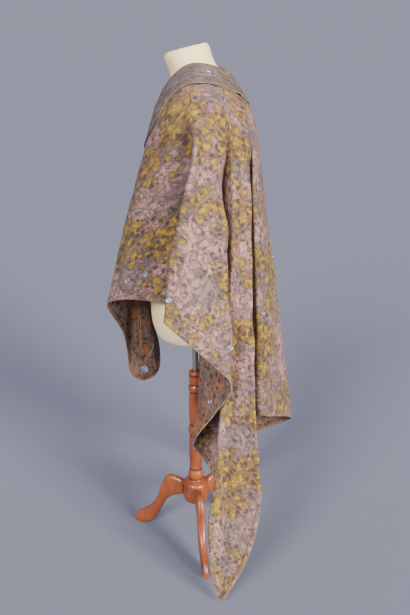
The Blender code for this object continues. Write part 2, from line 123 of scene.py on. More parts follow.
# %% Floor, world and lamps
FLOOR_SIZE = 240.0
Lamp = namedtuple("Lamp", "name comes_from strength spread tint")
LAMPS = (
    Lamp("key", (0.74, 0.58, 0.34), 7.2, math.radians(22), "#fff6ec"),
    Lamp("fill", (0.80, -0.36, 0.48), 3.7, math.radians(22), "#fff8f2"),
)
WORLD_STRENGTH = 0.85

# Matt studio paint, without any gloss
material, tree, shader = new_material("painted_studio_floor", Roughness=0.9, Specular_IOR_Level=0.0)
shader.inputs["Base Color"].default_value = colour("#7b7f90")
bpy.ops.mesh.primitive_plane_add(size=FLOOR_SIZE)
floor = bpy.context.object
floor.name = "floor"
floor.data.materials.append(material)

world = bpy.data.worlds.new("studio")
bpy.context.scene.world = world
world.use_nodes = True
sky = world.node_tree.nodes["Background"]
sky.inputs["Color"].default_value = colour("#a9a9c0")
sky.inputs["Strength"].default_value = WORLD_STRENGTH

for lamp in LAMPS:
    light = bpy.data.lights.new(lamp.name, "SUN")
    light.energy = lamp.strength
    light.angle = lamp.spread
    light.color = colour(lamp.tint)[:3]
    holder = bpy.data.objects.new(lamp.name, light)
    holder.rotation_euler = Vector(lamp.comes_from).to_track_quat("Z", "Y").to_euler()
    bpy.context.scene.collection.objects.link(holder)
print("lamps:", [lamp.name for lamp in LAMPS])

# %% [markdown]
# ## The drape
# Worn cloth hangs in runs: each run leaves the head slit, crosses the shoulder and falls to the hem. The
# solid was drawn that way, so the same table of folds is repeated here, a row for each fold round the hem.
# Cloth simulation would find folds of its own, and these ones have to match the ones in the picture, so
# they are listed one by one. A place counts folds round the hem, and a share runs from 0 at the slit to 1 at
# the hem.

# %% Sizes of the drape
STAND = np.array((-0.0002, -0.0202, 0.0))
WALL = 0.0014
SLIT_HALF_WIDTH, SLIT_HALF_LENGTH, SLIT_CENTRE_Y = 0.066, 0.084, 0.006
SLIT_SIDE_HEIGHT, SLIT_FRONT_DROP, SLIT_BACK_DROP = 1.361, 0.070, 0.026
CREST_HALF_WIDTH, CREST_HALF_DEPTH, CREST_CENTRE_Y, CREST_HEIGHT = 0.190, 0.124, 0.024, 1.250
YOKE_END, FALL_START, YOKE_STRAIGHT, FALL_STRAIGHT = 0.14, 0.30, 0.55, 0.12
FRONT_SEAM, BACK_SEAM = 0, 18

Fold = namedtuple("Fold", "name crest_angle hem_x hem_y hem_z bow_x bow_y rounding")
FOLDS = (
    Fold("corner a, front seam", -5, -0.105, -0.150, 0.462, 0.00, -0.03, 1.0),
    Fold("corner a left", 0, -0.082, -0.200, 0.500, 0.00, -0.02, 0.9),
    Fold("front edge", 7, -0.045, -0.196, 0.640, 0.00, -0.01, 0.8),
    Fold("front ridge", 16, 0.020, -0.247, 0.756, 0.00, 0.00, 0.5),
    Fold("front panel", 38, 0.110, -0.160, 0.800, 0.00, 0.00, 1.0),
    Fold("side valley", 66, 0.162, 0.012, 0.790, 0.00, 0.00, 0.5),
    Fold("side ridge front", 83, 0.283, -0.078, 0.803, 0.00, 0.00, 0.5),
    Fold("side panel", 99, 0.300, 0.004, 0.735, 0.00, 0.00, 1.0),
    Fold("side ridge back", 114, 0.292, 0.102, 0.640, 0.00, 0.002, 0.5),
    Fold("tail valley front", 117, 0.160, -0.014, 0.400, -0.012, 0.00, 0.8),
    Fold("tail valley back", 119, 0.142, 0.008, 0.374, -0.012, 0.00, 0.8),
    Fold("tail ridge front", 122, 0.250, 0.046, 0.335, 0.00, 0.012, 0.6),
    Fold("tail edge front", 127, 0.290, 0.031, 0.150, 0.00, 0.016, 1.0),
    Fold("corner b", 135, 0.302, 0.068, 0.002, 0.01, 0.009, 0.3),
    Fold("tail edge back", 142, 0.304, 0.145, 0.160, 0.02, 0.00, 1.0),
    Fold("tail ridge back", 148, 0.298, 0.172, 0.330, 0.02, -0.01, 0.5),
    Fold("back valley", 154, 0.085, 0.120, 0.480, 0.00, 0.00, 0.6),
    Fold("back edge", 160, 0.150, 0.182, 0.497, 0.00, 0.006, 0.4),
    Fold("back ridge and seam", 177, -0.020, 0.287, 0.390, 0.00, 0.00, 0.7),
    Fold("back right panel", 186, -0.080, 0.262, 0.345, 0.00, 0.00, 0.8),
    Fold("right back valley", 196, -0.105, 0.140, 0.300, 0.00, 0.00, 0.7),
    Fold("right back ridge", 209, -0.230, 0.225, 0.190, 0.00, 0.00, 0.6),
    Fold("right tail edge", 216, -0.290, 0.200, 0.090, 0.00, 0.00, 1.0),
    Fold("corner c", 222, -0.304, 0.150, 0.002, 0.00, 0.00, 0.3),
    Fold("right tail ridge", 230, -0.280, 0.075, 0.280, 0.00, 0.02, 0.6),
    Fold("right valley back", 236, -0.125, 0.050, 0.440, 0.00, 0.00, 0.8),
    Fold("right valley front", 242, -0.142, -0.004, 0.460, 0.00, 0.00, 0.8),
    Fold("right side ridge", 253, -0.290, 0.040, 0.600, 0.00, 0.00, 0.5),
    Fold("right side panel", 271, -0.290, -0.070, 0.690, 0.00, 0.00, 1.0),
    Fold("right side valley", 294, -0.168, 0.000, 0.775, 0.00, 0.00, 0.6),
    Fold("right front ridge", 322, -0.220, -0.190, 0.710, 0.00, 0.00, 0.6),
    Fold("front right edge", 347, -0.175, -0.115, 0.575, 0.00, -0.03, 0.8),
    Fold("corner a right", 351, -0.128, -0.105, 0.490, 0.00, -0.03, 0.9),
)
print("folds round the hem:", len(FOLDS))

# %% [markdown]
# The loop of folds has no end, so three rows are repeated on either side of the table before the places are
# looked up. Between two folds the hem runs straight, and near a fold it turns on a soft curve.

# %% Points on the drape
SPARE = 3
LOOP = [(FOLDS[at % len(FOLDS)], at // len(FOLDS)) for at in range(-SPARE, len(FOLDS) + SPARE + 1)]
FOLD_ANGLES = np.array([[fold.crest_angle + 360 * turn] for fold, turn in LOOP])
FOLD_HEMS = np.array([(fold.hem_x, fold.hem_y, fold.hem_z) for fold, _ in LOOP])
FOLD_BOWS = np.array([(fold.bow_x, fold.bow_y, 0.0) for fold, _ in LOOP])
FOLD_ROUNDINGS = np.array([fold.rounding for fold, _ in LOOP])


def unit(vectors):
    return vectors / np.maximum(np.linalg.norm(vectors, axis=-1, keepdims=True), 1e-12)


def eased(value, start, end):
    """0 up to start, 1 from end on, and a smooth step between."""
    part = np.clip((value - start) / (end - start), 0.0, 1.0)
    return part * part * (3 - 2 * part)


def mixed_folds(place, table):
    """A column of the table of folds at any place: straight between two folds, and rounded near one."""
    nearest = np.floor(place + 0.5).astype(int)
    offset = place - nearest
    half = FOLD_ROUNDINGS[nearest + SPARE] / 2
    turn = (offset / half + 1) / 2
    straight = np.abs(offset) >= half
    before = np.where(straight, np.maximum(-offset, 0), half * (1 - turn) ** 2)[..., None]
    after = np.where(straight, np.maximum(offset, 0), half * turn ** 2)[..., None]
    here = nearest + SPARE
    return before * table[here - 1] + (1 - before - after) * table[here] + after * table[here + 1]


def crest_angle(place):
    return np.radians(mixed_folds(place, FOLD_ANGLES)[..., 0])


def drape(place, share):
    """Points of the cloth's inner face for arrays of places and shares."""
    place, share = np.broadcast_arrays(np.asarray(place, float), np.asarray(share, float))
    angle = crest_angle(place)
    aside, ahead = np.sin(angle), np.cos(angle)
    drop = np.where(ahead > 0, SLIT_FRONT_DROP, SLIT_BACK_DROP)
    slit = np.stack((SLIT_HALF_WIDTH * aside, SLIT_CENTRE_Y - SLIT_HALF_LENGTH * ahead,
                     SLIT_SIDE_HEIGHT - drop * ahead ** 2), -1)
    crest = np.stack((CREST_HALF_WIDTH * aside, CREST_CENTRE_Y - CREST_HALF_DEPTH * ahead,
                      np.full_like(aside, CREST_HEIGHT)), -1)
    hem = mixed_folds(place, FOLD_HEMS)
    bow = mixed_folds(place, FOLD_BOWS)

    def fall(part):
        return crest + (hem - crest) * part + bow * (4 * part * (1 - part))

    share = share[..., None]
    shoulder = slit + (crest - slit) * YOKE_STRAIGHT
    yoke = slit + (crest - slit) * (YOKE_STRAIGHT * share / YOKE_END)
    turn = np.clip((share - YOKE_END) / (FALL_START - YOKE_END), 0, 1)
    start = shoulder + (crest - shoulder) * turn
    end = crest + (fall(FALL_STRAIGHT) - crest) * turn
    part = np.clip((share - FALL_START) / (1 - FALL_START), 0, 1)
    falling = fall(FALL_STRAIGHT + (1 - FALL_STRAIGHT) * part)
    below_yoke = np.where(share >= FALL_START, falling, start + (end - start) * turn)
    return np.where(share <= YOKE_END, yoke, below_yoke) + STAND


print("left hem starts at", drape(np.array([0.0]), 1.0)[0].round(3))

# %% [markdown]
# ## Creases
# A folded tent cloth keeps the marks of its folding and hangs with soft hollows. Each crease is a row:
# where it starts and ends on the cloth, how wide it is and how far it stands out (or in, below zero). A few
# broad waves from a fixed seed keep the rest from looking ironed. They fade on the shoulders, where the
# form holds the cloth smooth. Where the worn cloth gapes, or hangs over its neighbour, a whole fold has to
# move by centimetres, and a crease is too small for that. A second table does it: each shift is full at one
# place and share, fades round them, and moves the cloth by so much to the form's left, to its back and up.

# %% The table of creases
Crease = namedtuple("Crease", "name place share end_place end_share width_mm rise_mm")
CREASES = (
    Crease("front panel, long soft fold", 3.62, 0.46, 3.58, 0.97, 13, 5.0),
    Crease("front panel, hollow", 4.25, 0.45, 4.10, 0.90, 30, -4.0),
    Crease("front panel, slanting pull", 3.40, 0.62, 4.30, 0.72, 14, 2.2),
    Crease("front panel, lower pull", 3.70, 0.74, 4.35, 0.70, 12, -2.0),
    Crease("front panel, button pull", 3.75, 0.91, 3.35, 0.80, 12, 1.8),
    Crease("side panel, front edge", 5.99, 0.32, 6.01, 0.98, 6, 5.0),
    Crease("side panel, pressed line", 7.62, 0.55, 7.70, 0.98, 5, 1.6),
    Crease("side panel, pressed hollow", 7.45, 0.50, 7.52, 0.95, 12, -1.6),
    Crease("side panel, broad swell", 6.55, 0.45, 6.70, 0.95, 40, 4.0),
    Crease("side panel, cross pull", 6.20, 0.60, 7.40, 0.66, 16, 1.8),
    Crease("side panel, lower cross pull", 6.40, 0.86, 7.30, 0.80, 14, -1.8),
    Crease("side panel, slit behind its back edge", 9.40, 0.34, 9.60, 0.60, 12, -6.0),
    Crease("strip beside the tail", 8.25, 0.40, 8.30, 0.85, 10, 1.6),
    Crease("tail, long fold", 13.40, 0.45, 13.25, 0.96, 20, 3.0),
    Crease("tail, hollow", 12.60, 0.60, 12.80, 0.94, 18, -2.4),
    Crease("tail, cross pull", 12.70, 0.78, 14.10, 0.72, 16, 2.0),
    Crease("tail, lower cross pull", 12.80, 0.88, 13.80, 0.84, 12, -1.8),
    Crease("back valley, deep slit", 16.00, 0.34, 16.00, 0.98, 14, -6.0),
    Crease("back panel, long fold", 17.35, 0.40, 17.40, 0.95, 24, 3.0),
    Crease("back panel, hollow", 17.65, 0.45, 17.70, 0.92, 24, -3.0),
    Crease("back panel, cross pull", 17.15, 0.66, 17.85, 0.60, 16, 2.0),
    Crease("right back, hollow", 18.90, 0.45, 19.00, 0.93, 26, -3.0),
    Crease("right back, long fold", 20.70, 0.45, 20.60, 0.95, 24, 3.0),
    Crease("right tail, fold", 22.60, 0.50, 22.80, 0.95, 22, 2.8),
    Crease("right tail, cross pull", 21.60, 0.74, 23.20, 0.70, 16, -2.0),
    Crease("right side, swell", 27.60, 0.42, 27.70, 0.94, 36, 4.0),
    Crease("right side, pressed line", 28.30, 0.50, 28.25, 0.97, 6, 1.6),
    Crease("right side, cross pull", 27.30, 0.70, 28.60, 0.64, 16, 2.0),
    Crease("right front, long fold", 30.20, 0.42, 30.30, 0.95, 22, 3.4),
    Crease("right front, hollow", 29.70, 0.45, 29.75, 0.92, 24, -3.2),
    Crease("right front, cross pull", 29.80, 0.76, 30.80, 0.68, 14, 1.8),
    Crease("front tongue, fold", 0.45, 0.55, 0.50, 0.93, 14, 1.6),
    Crease("front tongue, hollow", 32.45, 0.55, 32.50, 0.93, 14, -1.6),
)
Shift = namedtuple("Shift", "name place reach start_share peak_share end_share move")
SHIFTS = (
    Shift("side valley goes behind the panel", 5.2, 0.8, 0.22, 0.36, 0.76, (0.003, 0.022, 0.0)),
    Shift("side valley goes in under the shoulder", 5.1, 0.7, 0.46, 0.64, 1.40, (-0.014, 0.0, 0.0)),
    Shift("side panel hangs over it", 6.0, 0.7, 0.17, 0.36, 0.80, (0.034, 0.008, 0.0)),
    Shift("side panel's back edge gapes", 8.0, 0.9, 0.27, 0.38, 0.57, (0.0, -0.015, 0.0)),
    Shift("slit behind it goes in", 9.5, 0.8, 0.27, 0.38, 0.66, (-0.016, -0.004, 0.0)),
    Shift("strip beside it comes forward", 11.6, 2.0, 0.27, 0.38, 0.62, (0.014, 0.002, 0.0)),
    Shift("scoop beside the tail", 10.45, 0.90, 0.64, 0.90, 3.0, (-0.060, 0.030, -0.070)),
    Shift("tail's back edge opens", 15.0, 0.6, 0.30, 0.43, 0.60, (0.0, 0.006, 0.0)),
    Shift("back valley goes in", 16.0, 0.8, 0.26, 0.50, 2.0, (-0.015, -0.006, 0.0)),
    Shift("back edge comes forward", 17.0, 0.8, 0.22, 0.44, 2.0, (0.028, -0.010, 0.0)),
    Shift("right back valley hangs lower", 20.0, 1.0, 0.60, 0.95, 3.0, (0.0, 0.0, -0.020)),
    Shift("right back ridge stays behind the tail", 21.0, 1.0, 0.60, 0.95, 3.0, (0.0, -0.024, 0.0)),
)
WAVE_SEED = 11
WAVES = 26
WAVE_SHORT, WAVE_LONG = 0.07, 0.30
WAVE_RISE = 0.0009
CREASE_FADE = (0.26, 0.48)
print("creases placed:", len(CREASES), "folds shifted:", len(SHIFTS))

# %% [markdown]
# ## The two halves
# The poncho is two triangles joined at a centre seam. Each half is a grid of points: a column for each
# place along the hem and a row for each share of the run. The flat cut is worked out from the same grid, by
# laying the runs out like the ribs of a fan, and gives both the cloth's UV map, in metres, and the
# distances for the creases. A crease pushes the cloth along a direction that is averaged with its
# neighbours', because in a narrow fold the directions meet, and the cloth would run into itself.

# %% Places, lengths and the flat cut
YOKE_ROWS, FALL_ROWS = 40, 112
SHARES = np.concatenate((np.linspace(0, FALL_START, YOKE_ROWS)[:-1], np.linspace(FALL_START, 1, FALL_ROWS)))
LEFT_COLUMNS, RIGHT_COLUMNS, FINE_PLACES = 300, 250, 6000
SEAM_GAP = 0.0003
CREASE_REACH, WALL_REACH = 5, 1
SLIT_RADIUS = 0.07
SLIT_RISE_END = 0.09
SlitRise = namedtuple("SlitRise", "name angle reach rise")
SLIT_RISES = (
    SlitRise("back of the neck stands up", 212, 48, 0.005),
    SlitRise("front left corner", 20, 30, 0.002),
)


def even_places(first, last, count):
    """Places that are evenly spread along hem and crest together."""
    fine = np.linspace(first, last, FINE_PLACES)
    steps = sum(np.linalg.norm(np.diff(drape(fine, share), axis=0), axis=1) for share in (1.0, FALL_START))
    travel = np.concatenate(([0.0], np.cumsum(steps)))
    return np.interp(np.linspace(0, travel[-1], count), travel, fine)


def run_lengths(grid):
    """The length down each column of a grid, from its top to every point."""
    steps = np.linalg.norm(np.diff(grid, axis=0), axis=2)
    return np.concatenate((np.zeros((1, grid.shape[1])), np.cumsum(steps, axis=0)))


def line_lengths(line):
    """The length along a line of points, from its start to every point."""
    return run_lengths(line[:, None])[:, 0]


def flat_cut(grid):
    """The grid laid out flat: each run is a rib of a fan, opened by what the hem needs."""
    radius = SLIT_RADIUS + run_lengths(grid)
    hem_steps = np.linalg.norm(np.diff(grid[-1], axis=0), axis=1)
    shrink = np.abs(np.diff(radius[-1]))
    sideways = np.sqrt(np.maximum(hem_steps ** 2 - shrink ** 2, 1e-10))
    opening = sideways / ((radius[-1, 1:] + radius[-1, :-1]) / 2)
    angle = np.concatenate(([0.0], np.cumsum(opening)))
    return np.stack((radius * np.sin(angle), radius * np.cos(angle)), -1)


print("rows down each run:", len(SHARES))


# %% Creases on a grid
def normals_of(grid):
    return unit(np.cross(np.gradient(grid, axis=0), np.gradient(grid, axis=1)))


def averaged(vectors, reach):
    """Each direction averaged with its neighbours in the row, so that a narrow fold moves as a whole."""
    padded = np.pad(vectors, ((0, 0), (reach, reach), (0, 0)), mode="edge")
    return unit(sum(padded[:, at:at + vectors.shape[1]] for at in range(2 * reach + 1)))


def grid_at(grid, places, place, share):
    """A value of a grid between its points."""
    column = np.interp(place, places, np.arange(len(places)))
    row = np.interp(share, SHARES, np.arange(len(SHARES)))
    left, top = int(min(column, len(places) - 2)), int(min(row, len(SHARES) - 2))
    across, down = column - left, row - top
    upper = grid[top, left] * (1 - across) + grid[top, left + 1] * across
    lower = grid[top + 1, left] * (1 - across) + grid[top + 1, left + 1] * across
    return upper * (1 - down) + lower * down


def crease_rise(cut, places):
    """How far every point stands out, from the creases and the broad waves."""
    rise = np.zeros(cut.shape[:2])
    for crease in CREASES:
        if not places[0] <= crease.place <= places[-1] or not places[0] <= crease.end_place <= places[-1]:
            continue
        start = grid_at(cut, places, crease.place, crease.share)
        line = grid_at(cut, places, crease.end_place, crease.end_share) - start
        along = np.clip(((cut - start) @ line) / (line @ line), 0, 1)
        away = np.linalg.norm(cut - start - along[..., None] * line, axis=-1)
        taper = np.sqrt(np.sin(math.pi * np.clip(along, 0.02, 0.98)))
        rise += crease.rise_mm / 1000 * taper * np.exp(-(away / (crease.width_mm / 1000)) ** 2)
    draw = np.random.default_rng(WAVE_SEED)
    for _ in range(WAVES):
        length = draw.uniform(WAVE_SHORT, WAVE_LONG)
        turn, phase = draw.uniform(0, 2 * math.pi, 2)
        heading = np.array((math.cos(turn), math.sin(turn))) * 2 * math.pi / length
        rise += WAVE_RISE * (length / WAVE_LONG) * np.sin(cut @ heading + phase)
    return rise * eased(SHARES, *CREASE_FADE)[:, None]


print("waves from seed", WAVE_SEED)

# %% Both halves
Half = namedtuple("Half", "places inner outer normals cut")


def make_half(first, last, columns):
    """Both faces of the cloth between two seams, shifted, creased and with a wall, and its flat cut."""
    places = even_places(first, last, columns)
    grid = drape(places[None, :], SHARES[:, None])
    degrees = np.degrees(crest_angle(places))
    for lift in SLIT_RISES:
        near = eased(lift.reach - np.abs(degrees - lift.angle), 0, lift.reach)
        grid[..., 2] += lift.rise * near * (1 - eased(SHARES, 0.0, SLIT_RISE_END))[:, None]
    for shift in SHIFTS:
        beside = eased(shift.reach - np.abs(places - shift.place), 0, shift.reach)
        grows = eased(SHARES, shift.start_share, shift.peak_share)
        fades = eased(SHARES, shift.peak_share, shift.end_share)
        down = grows * (1 - fades)
        grid += (down[:, None] * beside)[..., None] * np.array(shift.move)
    cut = flat_cut(grid)
    grid = grid + averaged(normals_of(grid), CREASE_REACH) * crease_rise(cut, places)[..., None]
    for edge, beside in ((0, 1), (-1, -2)):
        grid[:, edge] += unit(grid[:, beside] - grid[:, edge]) * SEAM_GAP
    normals = averaged(normals_of(grid), WALL_REACH)
    return Half(places, grid, grid + normals * WALL, normals, cut)


halves = {
    "left": make_half(FRONT_SEAM, BACK_SEAM, LEFT_COLUMNS),
    "right": make_half(BACK_SEAM, len(FOLDS), RIGHT_COLUMNS),
}
for side, half in halves.items():
    hem = line_lengths(half.outer[-1])[-1]
    extent = np.ptp(half.cut, axis=(0, 1)).round(3)
    print(side, "half: grid", half.inner.shape[:2], "hem", round(hem, 3), "m, flat extent", extent)

# %% [markdown]
# ## Printed cotton
# The real print is replaced by a generic one of the same colours and scale: a faded mauve ground, grey
# ringed mottling, dark spots, and ochre blobs with brown edges that gather in clusters. The rings and blobs
# come from Voronoi cells, which are round and evenly spread, and the mottling from noise. A noise bends the
# coordinates first, so that the edges look inked, and a broad one raises the ochre into clusters. The inner
# side is printed in browns, with orange patches from a noise. The scale is in millimetres on the flat cut,
# so nothing stretches at a fold.

# %% Tools for printing
BEND_SIZE_MM, BEND = 22, 0.014
FLECK_SIZE_MM, RUMPLE_SIZE_MM, RUMPLE_PART = 1.6, 24, 6.0
FRAY_SIZE_MM, FRAY_SHIFT = 7, 2.9


def flat_noise(tree, place, size_mm, detail):
    return add_node(tree, "TexNoise", {"Vector": place, "Scale": 1000 / size_mm, "Detail": detail},
                    noise_dimensions="2D")


def noise_at(tree, place, size_mm, shift):
    """A noise of a given size, from 0 to 1 and mostly near a half. Each shift gives another one."""
    moved = add_node(tree, "VectorMath", {0: place, 1: (shift, -shift, 0)}, operation="ADD")
    return flat_noise(tree, moved.outputs[0], size_mm, 2.0).outputs[0]


def between(tree, value, low, high):
    """A soft step of a value: 0 up to low and 1 from high on, or turned round if low is the larger."""
    return add_node(tree, "MapRange", {"Value": value, "From Min": low, "From Max": high},
                    interpolation_type="SMOOTHSTEP").outputs[0]


def over(tree, under, mask, strength, top):
    """A colour printed over what is there, where the mask lets it."""
    part = add_node(tree, "Math", {0: mask, 1: strength}, operation="MULTIPLY")
    return add_node(tree, "Mix", {0: part.outputs[0], 6: under, 7: top}, data_type="RGBA").outputs[2]


def ink(tree, under, value, low, high, strength, tint):
    """A colour printed over what is there, growing to its strength as a value goes from low to high."""
    return over(tree, under, between(tree, value, low, high), strength, colour(tint))


def gathered(tree, fine, broad, pull):
    """A fine noise that is raised where a broad one is high, so that its blotches gather there."""
    lift = add_node(tree, "Math", {0: broad, 1: 0.5}, operation="SUBTRACT")
    return add_node(tree, "Math", {0: lift.outputs[0], 1: pull, 2: fine}, operation="MULTIPLY_ADD").outputs[0]


def spots(tree, place, size_mm, shift, variety):
    """How far inside its round spot a point is, for spots of a given spacing and of varied size."""
    moved = add_node(tree, "VectorMath", {0: place, 1: (shift, shift * 0.7, 0)}, operation="ADD")
    cells = add_node(tree, "TexVoronoi", {"Vector": moved.outputs[0], "Scale": 1000 / size_mm},
                     voronoi_dimensions="2D")
    near = add_node(tree, "Math", {0: 1.0 - variety / 2, 1: cells.outputs["Distance"]}, operation="SUBTRACT")
    return add_node(tree, "Math", {0: cells.outputs["Color"], 1: variety, 2: near.outputs[0]},
                    operation="MULTIPLY_ADD").outputs[0]


def cloth_ground(tree):
    """The flat cut's coordinates, plain and bent by a noise."""
    plain = add_node(tree, "UVMap", uv_map="cut").outputs[0]
    bend = flat_noise(tree, plain, BEND_SIZE_MM, 2.0)
    bent = add_node(tree, "VectorMath", {0: bend.outputs[1], 1: (BEND, BEND, 0), 2: plain},
                    operation="MULTIPLY_ADD")
    return plain, bent.outputs[0]


def weave_finish(tree, shader, plain, printed):
    """Thread flecks in the colour and a woven bump, larger than real threads, which are too fine to show."""
    fleck = flat_noise(tree, plain, FLECK_SIZE_MM, 1.0).outputs[0]
    tone = add_node(tree, "MapRange", {"Value": fleck, "To Min": 0.80, "To Max": 1.20})
    shaded = add_node(tree, "VectorMath", {0: printed, 1: tone.outputs[0]}, operation="MULTIPLY")
    tree.links.new(shaded.outputs[0], shader.inputs["Base Color"])
    rumple = flat_noise(tree, plain, RUMPLE_SIZE_MM, 3.0).outputs[0]
    height = add_node(tree, "Math", {0: rumple, 1: RUMPLE_PART, 2: fleck}, operation="MULTIPLY_ADD")
    bump = add_node(tree, "Bump", {"Height": height.outputs[0], "Strength": 0.35, "Distance": 0.0004})
    tree.links.new(bump.outputs[0], shader.inputs["Normal"])


print("printing tools ready")

# %% The outer print
CLUSTER_SIZE_MM, CLUSTER_SHIFT, CLUSTER_LIMIT = 140, 17.6, 0.57
OCHRE_SIZE_MM, RING_SIZE_MM, DARK_SIZE_MM = 25, 26, 17


# Printed cotton, closely woven and washed out: matt, with a faint fuzz at grazing angles
def outer_print(name, ochre_from, ground, shade):
    """Inks laid one over the other: mottling, rings, clusters, ochre with its edge and core, then spots."""
    material, tree, shader = new_material(name, Roughness=0.88, Sheen_Weight=0.08, Sheen_Roughness=0.5)
    plain, bent = cloth_ground(tree)
    cluster = noise_at(tree, plain, CLUSTER_SIZE_MM, CLUSTER_SHIFT)
    crowd = add_node(tree, "Math", {0: cluster, 1: CLUSTER_LIMIT}, operation="MINIMUM").outputs[0]
    fray = noise_at(tree, plain, FRAY_SIZE_MM, FRAY_SHIFT)
    look = ink(tree, colour(ground), noise_at(tree, plain, 75, 3.1), 0.42, 0.60, 0.85, shade)
    look = ink(tree, look, noise_at(tree, bent, 24, 5.3), 0.47, 0.64, 0.65, "#5c4c49")
    look = ink(tree, look, noise_at(tree, bent, 9, 7.7), 0.44, 0.64, 0.4, "#4f4040")
    rings = gathered(tree, spots(tree, bent, RING_SIZE_MM, 1.7, 0.35), fray, 0.4)
    band = add_node(tree, "Math", {0: between(tree, rings, 0.50, 0.68), 1: between(tree, rings, 0.86, 0.68)},
                    operation="MULTIPLY")
    look = over(tree, look, band.outputs[0], 0.65, colour("#453838"))
    look = ink(tree, look, cluster, 0.48, 0.68, 0.45, "#5f4a3a")
    ochre = gathered(tree, gathered(tree, spots(tree, bent, OCHRE_SIZE_MM, 6.6, 0.4), fray, 0.4), crowd, 2.4)
    look = ink(tree, look, ochre, ochre_from - 0.24, ochre_from - 0.02, 0.75, "#4c3c2f")
    specks = gathered(tree, noise_at(tree, bent, 9, 4.4), cluster, 1.3)
    look = ink(tree, look, specks, ochre_from - 0.16, ochre_from - 0.04, 0.7, "#7b6024")
    look = ink(tree, look, ochre, ochre_from - 0.08, ochre_from + 0.10, 0.92, "#967622")
    look = ink(tree, look, ochre, ochre_from + 0.10, ochre_from + 0.35, 0.5, "#b4953c")
    network = gathered(tree, noise_at(tree, bent, 8, 3.7), crowd, 1.2)
    look = ink(tree, look, network, 0.52, 0.64, 0.5, "#4a392c")
    dark = gathered(tree, gathered(tree, spots(tree, bent, DARK_SIZE_MM, 9.1, 0.6), fray, 0.4), cluster, 0.6)
    look = ink(tree, look, dark, 0.76, 0.95, 0.8, "#3a2e2c")
    weave_finish(tree, shader, plain, look)
    return material


outer_cotton = outer_print("printed_cotton_outer", 0.77, "#aa847a", "#796464")
flap_cotton = outer_print("printed_cotton_flap", 1.02, "#78655f", "#5c524f")
print("outer cloth materials:", outer_cotton.name, flap_cotton.name)

# %% The inner print and the worn edge
INNER_CLUSTER_SIZE_MM, INNER_CLUSTER_SHIFT = 120, 8.1
ORANGE_SIZE_MM, INNER_DARK_SIZE_MM = 28, 18


# The same cotton's inner side: matt browns with orange patches
def inner_print(name, ground, shade, orange_from):
    """Inks laid one over the other: mottling, orange with its edge, then dark spots."""
    material, tree, shader = new_material(name, Roughness=0.9, Sheen_Weight=0.05, Sheen_Roughness=0.5)
    plain, bent = cloth_ground(tree)
    fray = noise_at(tree, plain, FRAY_SIZE_MM, FRAY_SHIFT)
    cluster = noise_at(tree, plain, INNER_CLUSTER_SIZE_MM, INNER_CLUSTER_SHIFT)
    look = ink(tree, colour(ground), noise_at(tree, plain, 70, 2.3), 0.42, 0.60, 0.8, shade)
    look = ink(tree, look, noise_at(tree, bent, 11, 7.7), 0.42, 0.66, 0.5, "#382a22")
    patches = gathered(tree, noise_at(tree, bent, ORANGE_SIZE_MM, 2.6), fray, 0.3)
    orange = gathered(tree, patches, cluster, 1.6)
    look = ink(tree, look, orange, orange_from - 0.16, orange_from, 0.5, "#3b261b")
    look = ink(tree, look, orange, orange_from - 0.06, orange_from + 0.14, 0.85, "#98603e")
    dark = gathered(tree, spots(tree, bent, INNER_DARK_SIZE_MM, 5.1, 0.6), fray, 0.4)
    look = ink(tree, look, dark, 0.76, 0.95, 0.8, "#261a15")
    weave_finish(tree, shader, plain, look)
    return material


inner_cotton = inner_print("printed_cotton_inner", "#82624f", "#6b5b50", 0.64)
patch_cotton = inner_print("printed_cotton_patch", "#82695a", "#75675b", 0.85)
# The same cotton where a turned edge has worn pale
worn_edge, tree, shader = new_material("cotton_worn_at_the_fold", Roughness=0.9)
plain, _ = cloth_ground(tree)
worn = ink(tree, colour("#8f8073"), noise_at(tree, plain, 22, 1.4), 0.42, 0.60, 0.8, "#66564a")
weave_finish(tree, shader, plain, worn)
print("inner cloth materials:", inner_cotton.name, patch_cotton.name, worn_edge.name)

# %% [markdown]
# ## From grids to meshes
# A sheet with a thickness is a closed shell: the inner and the outer grid, joined by a rim. Blender's
# Solidify would do the same, but here both faces are needed as arrays, because hems, flaps and patches are
# laid on them.

# %% Mesh helpers
CLOTH_LOOKS = (outer_cotton, inner_cotton, worn_edge)


def grid_quads(rows, columns):
    corner = (np.arange(rows - 1)[:, None] * columns + np.arange(columns - 1)).ravel()
    return np.stack((corner, corner + 1, corner + columns + 1, corner + columns), -1)


def rim_of(rows, columns):
    index = np.arange(rows * columns).reshape(rows, columns)
    return np.concatenate((index[0], index[1:, -1], index[-1, -2::-1], index[-2:0:-1, 0]))


def add_piece(name, points, faces, looks, marks, cut=None):
    """A mesh object from arrays, with a material mark for each face and a UV map in metres."""
    mesh = bpy.data.meshes.new(name)
    mesh.from_pydata(points.tolist(), [], faces)
    for look in looks:
        mesh.materials.append(look)
    mesh.polygons.foreach_set("material_index", np.asarray(marks, np.int32))
    if cut is not None:
        corners = np.zeros(len(mesh.loops), np.int32)
        mesh.loops.foreach_get("vertex_index", corners)
        mesh.uv_layers.new(name="cut").data.foreach_set("uv", cut[corners].astype(np.float32).ravel())
    mesh.shade_smooth()
    piece = bpy.data.objects.new(name, mesh)
    bpy.context.scene.collection.objects.link(piece)
    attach(piece, "root")
    return piece


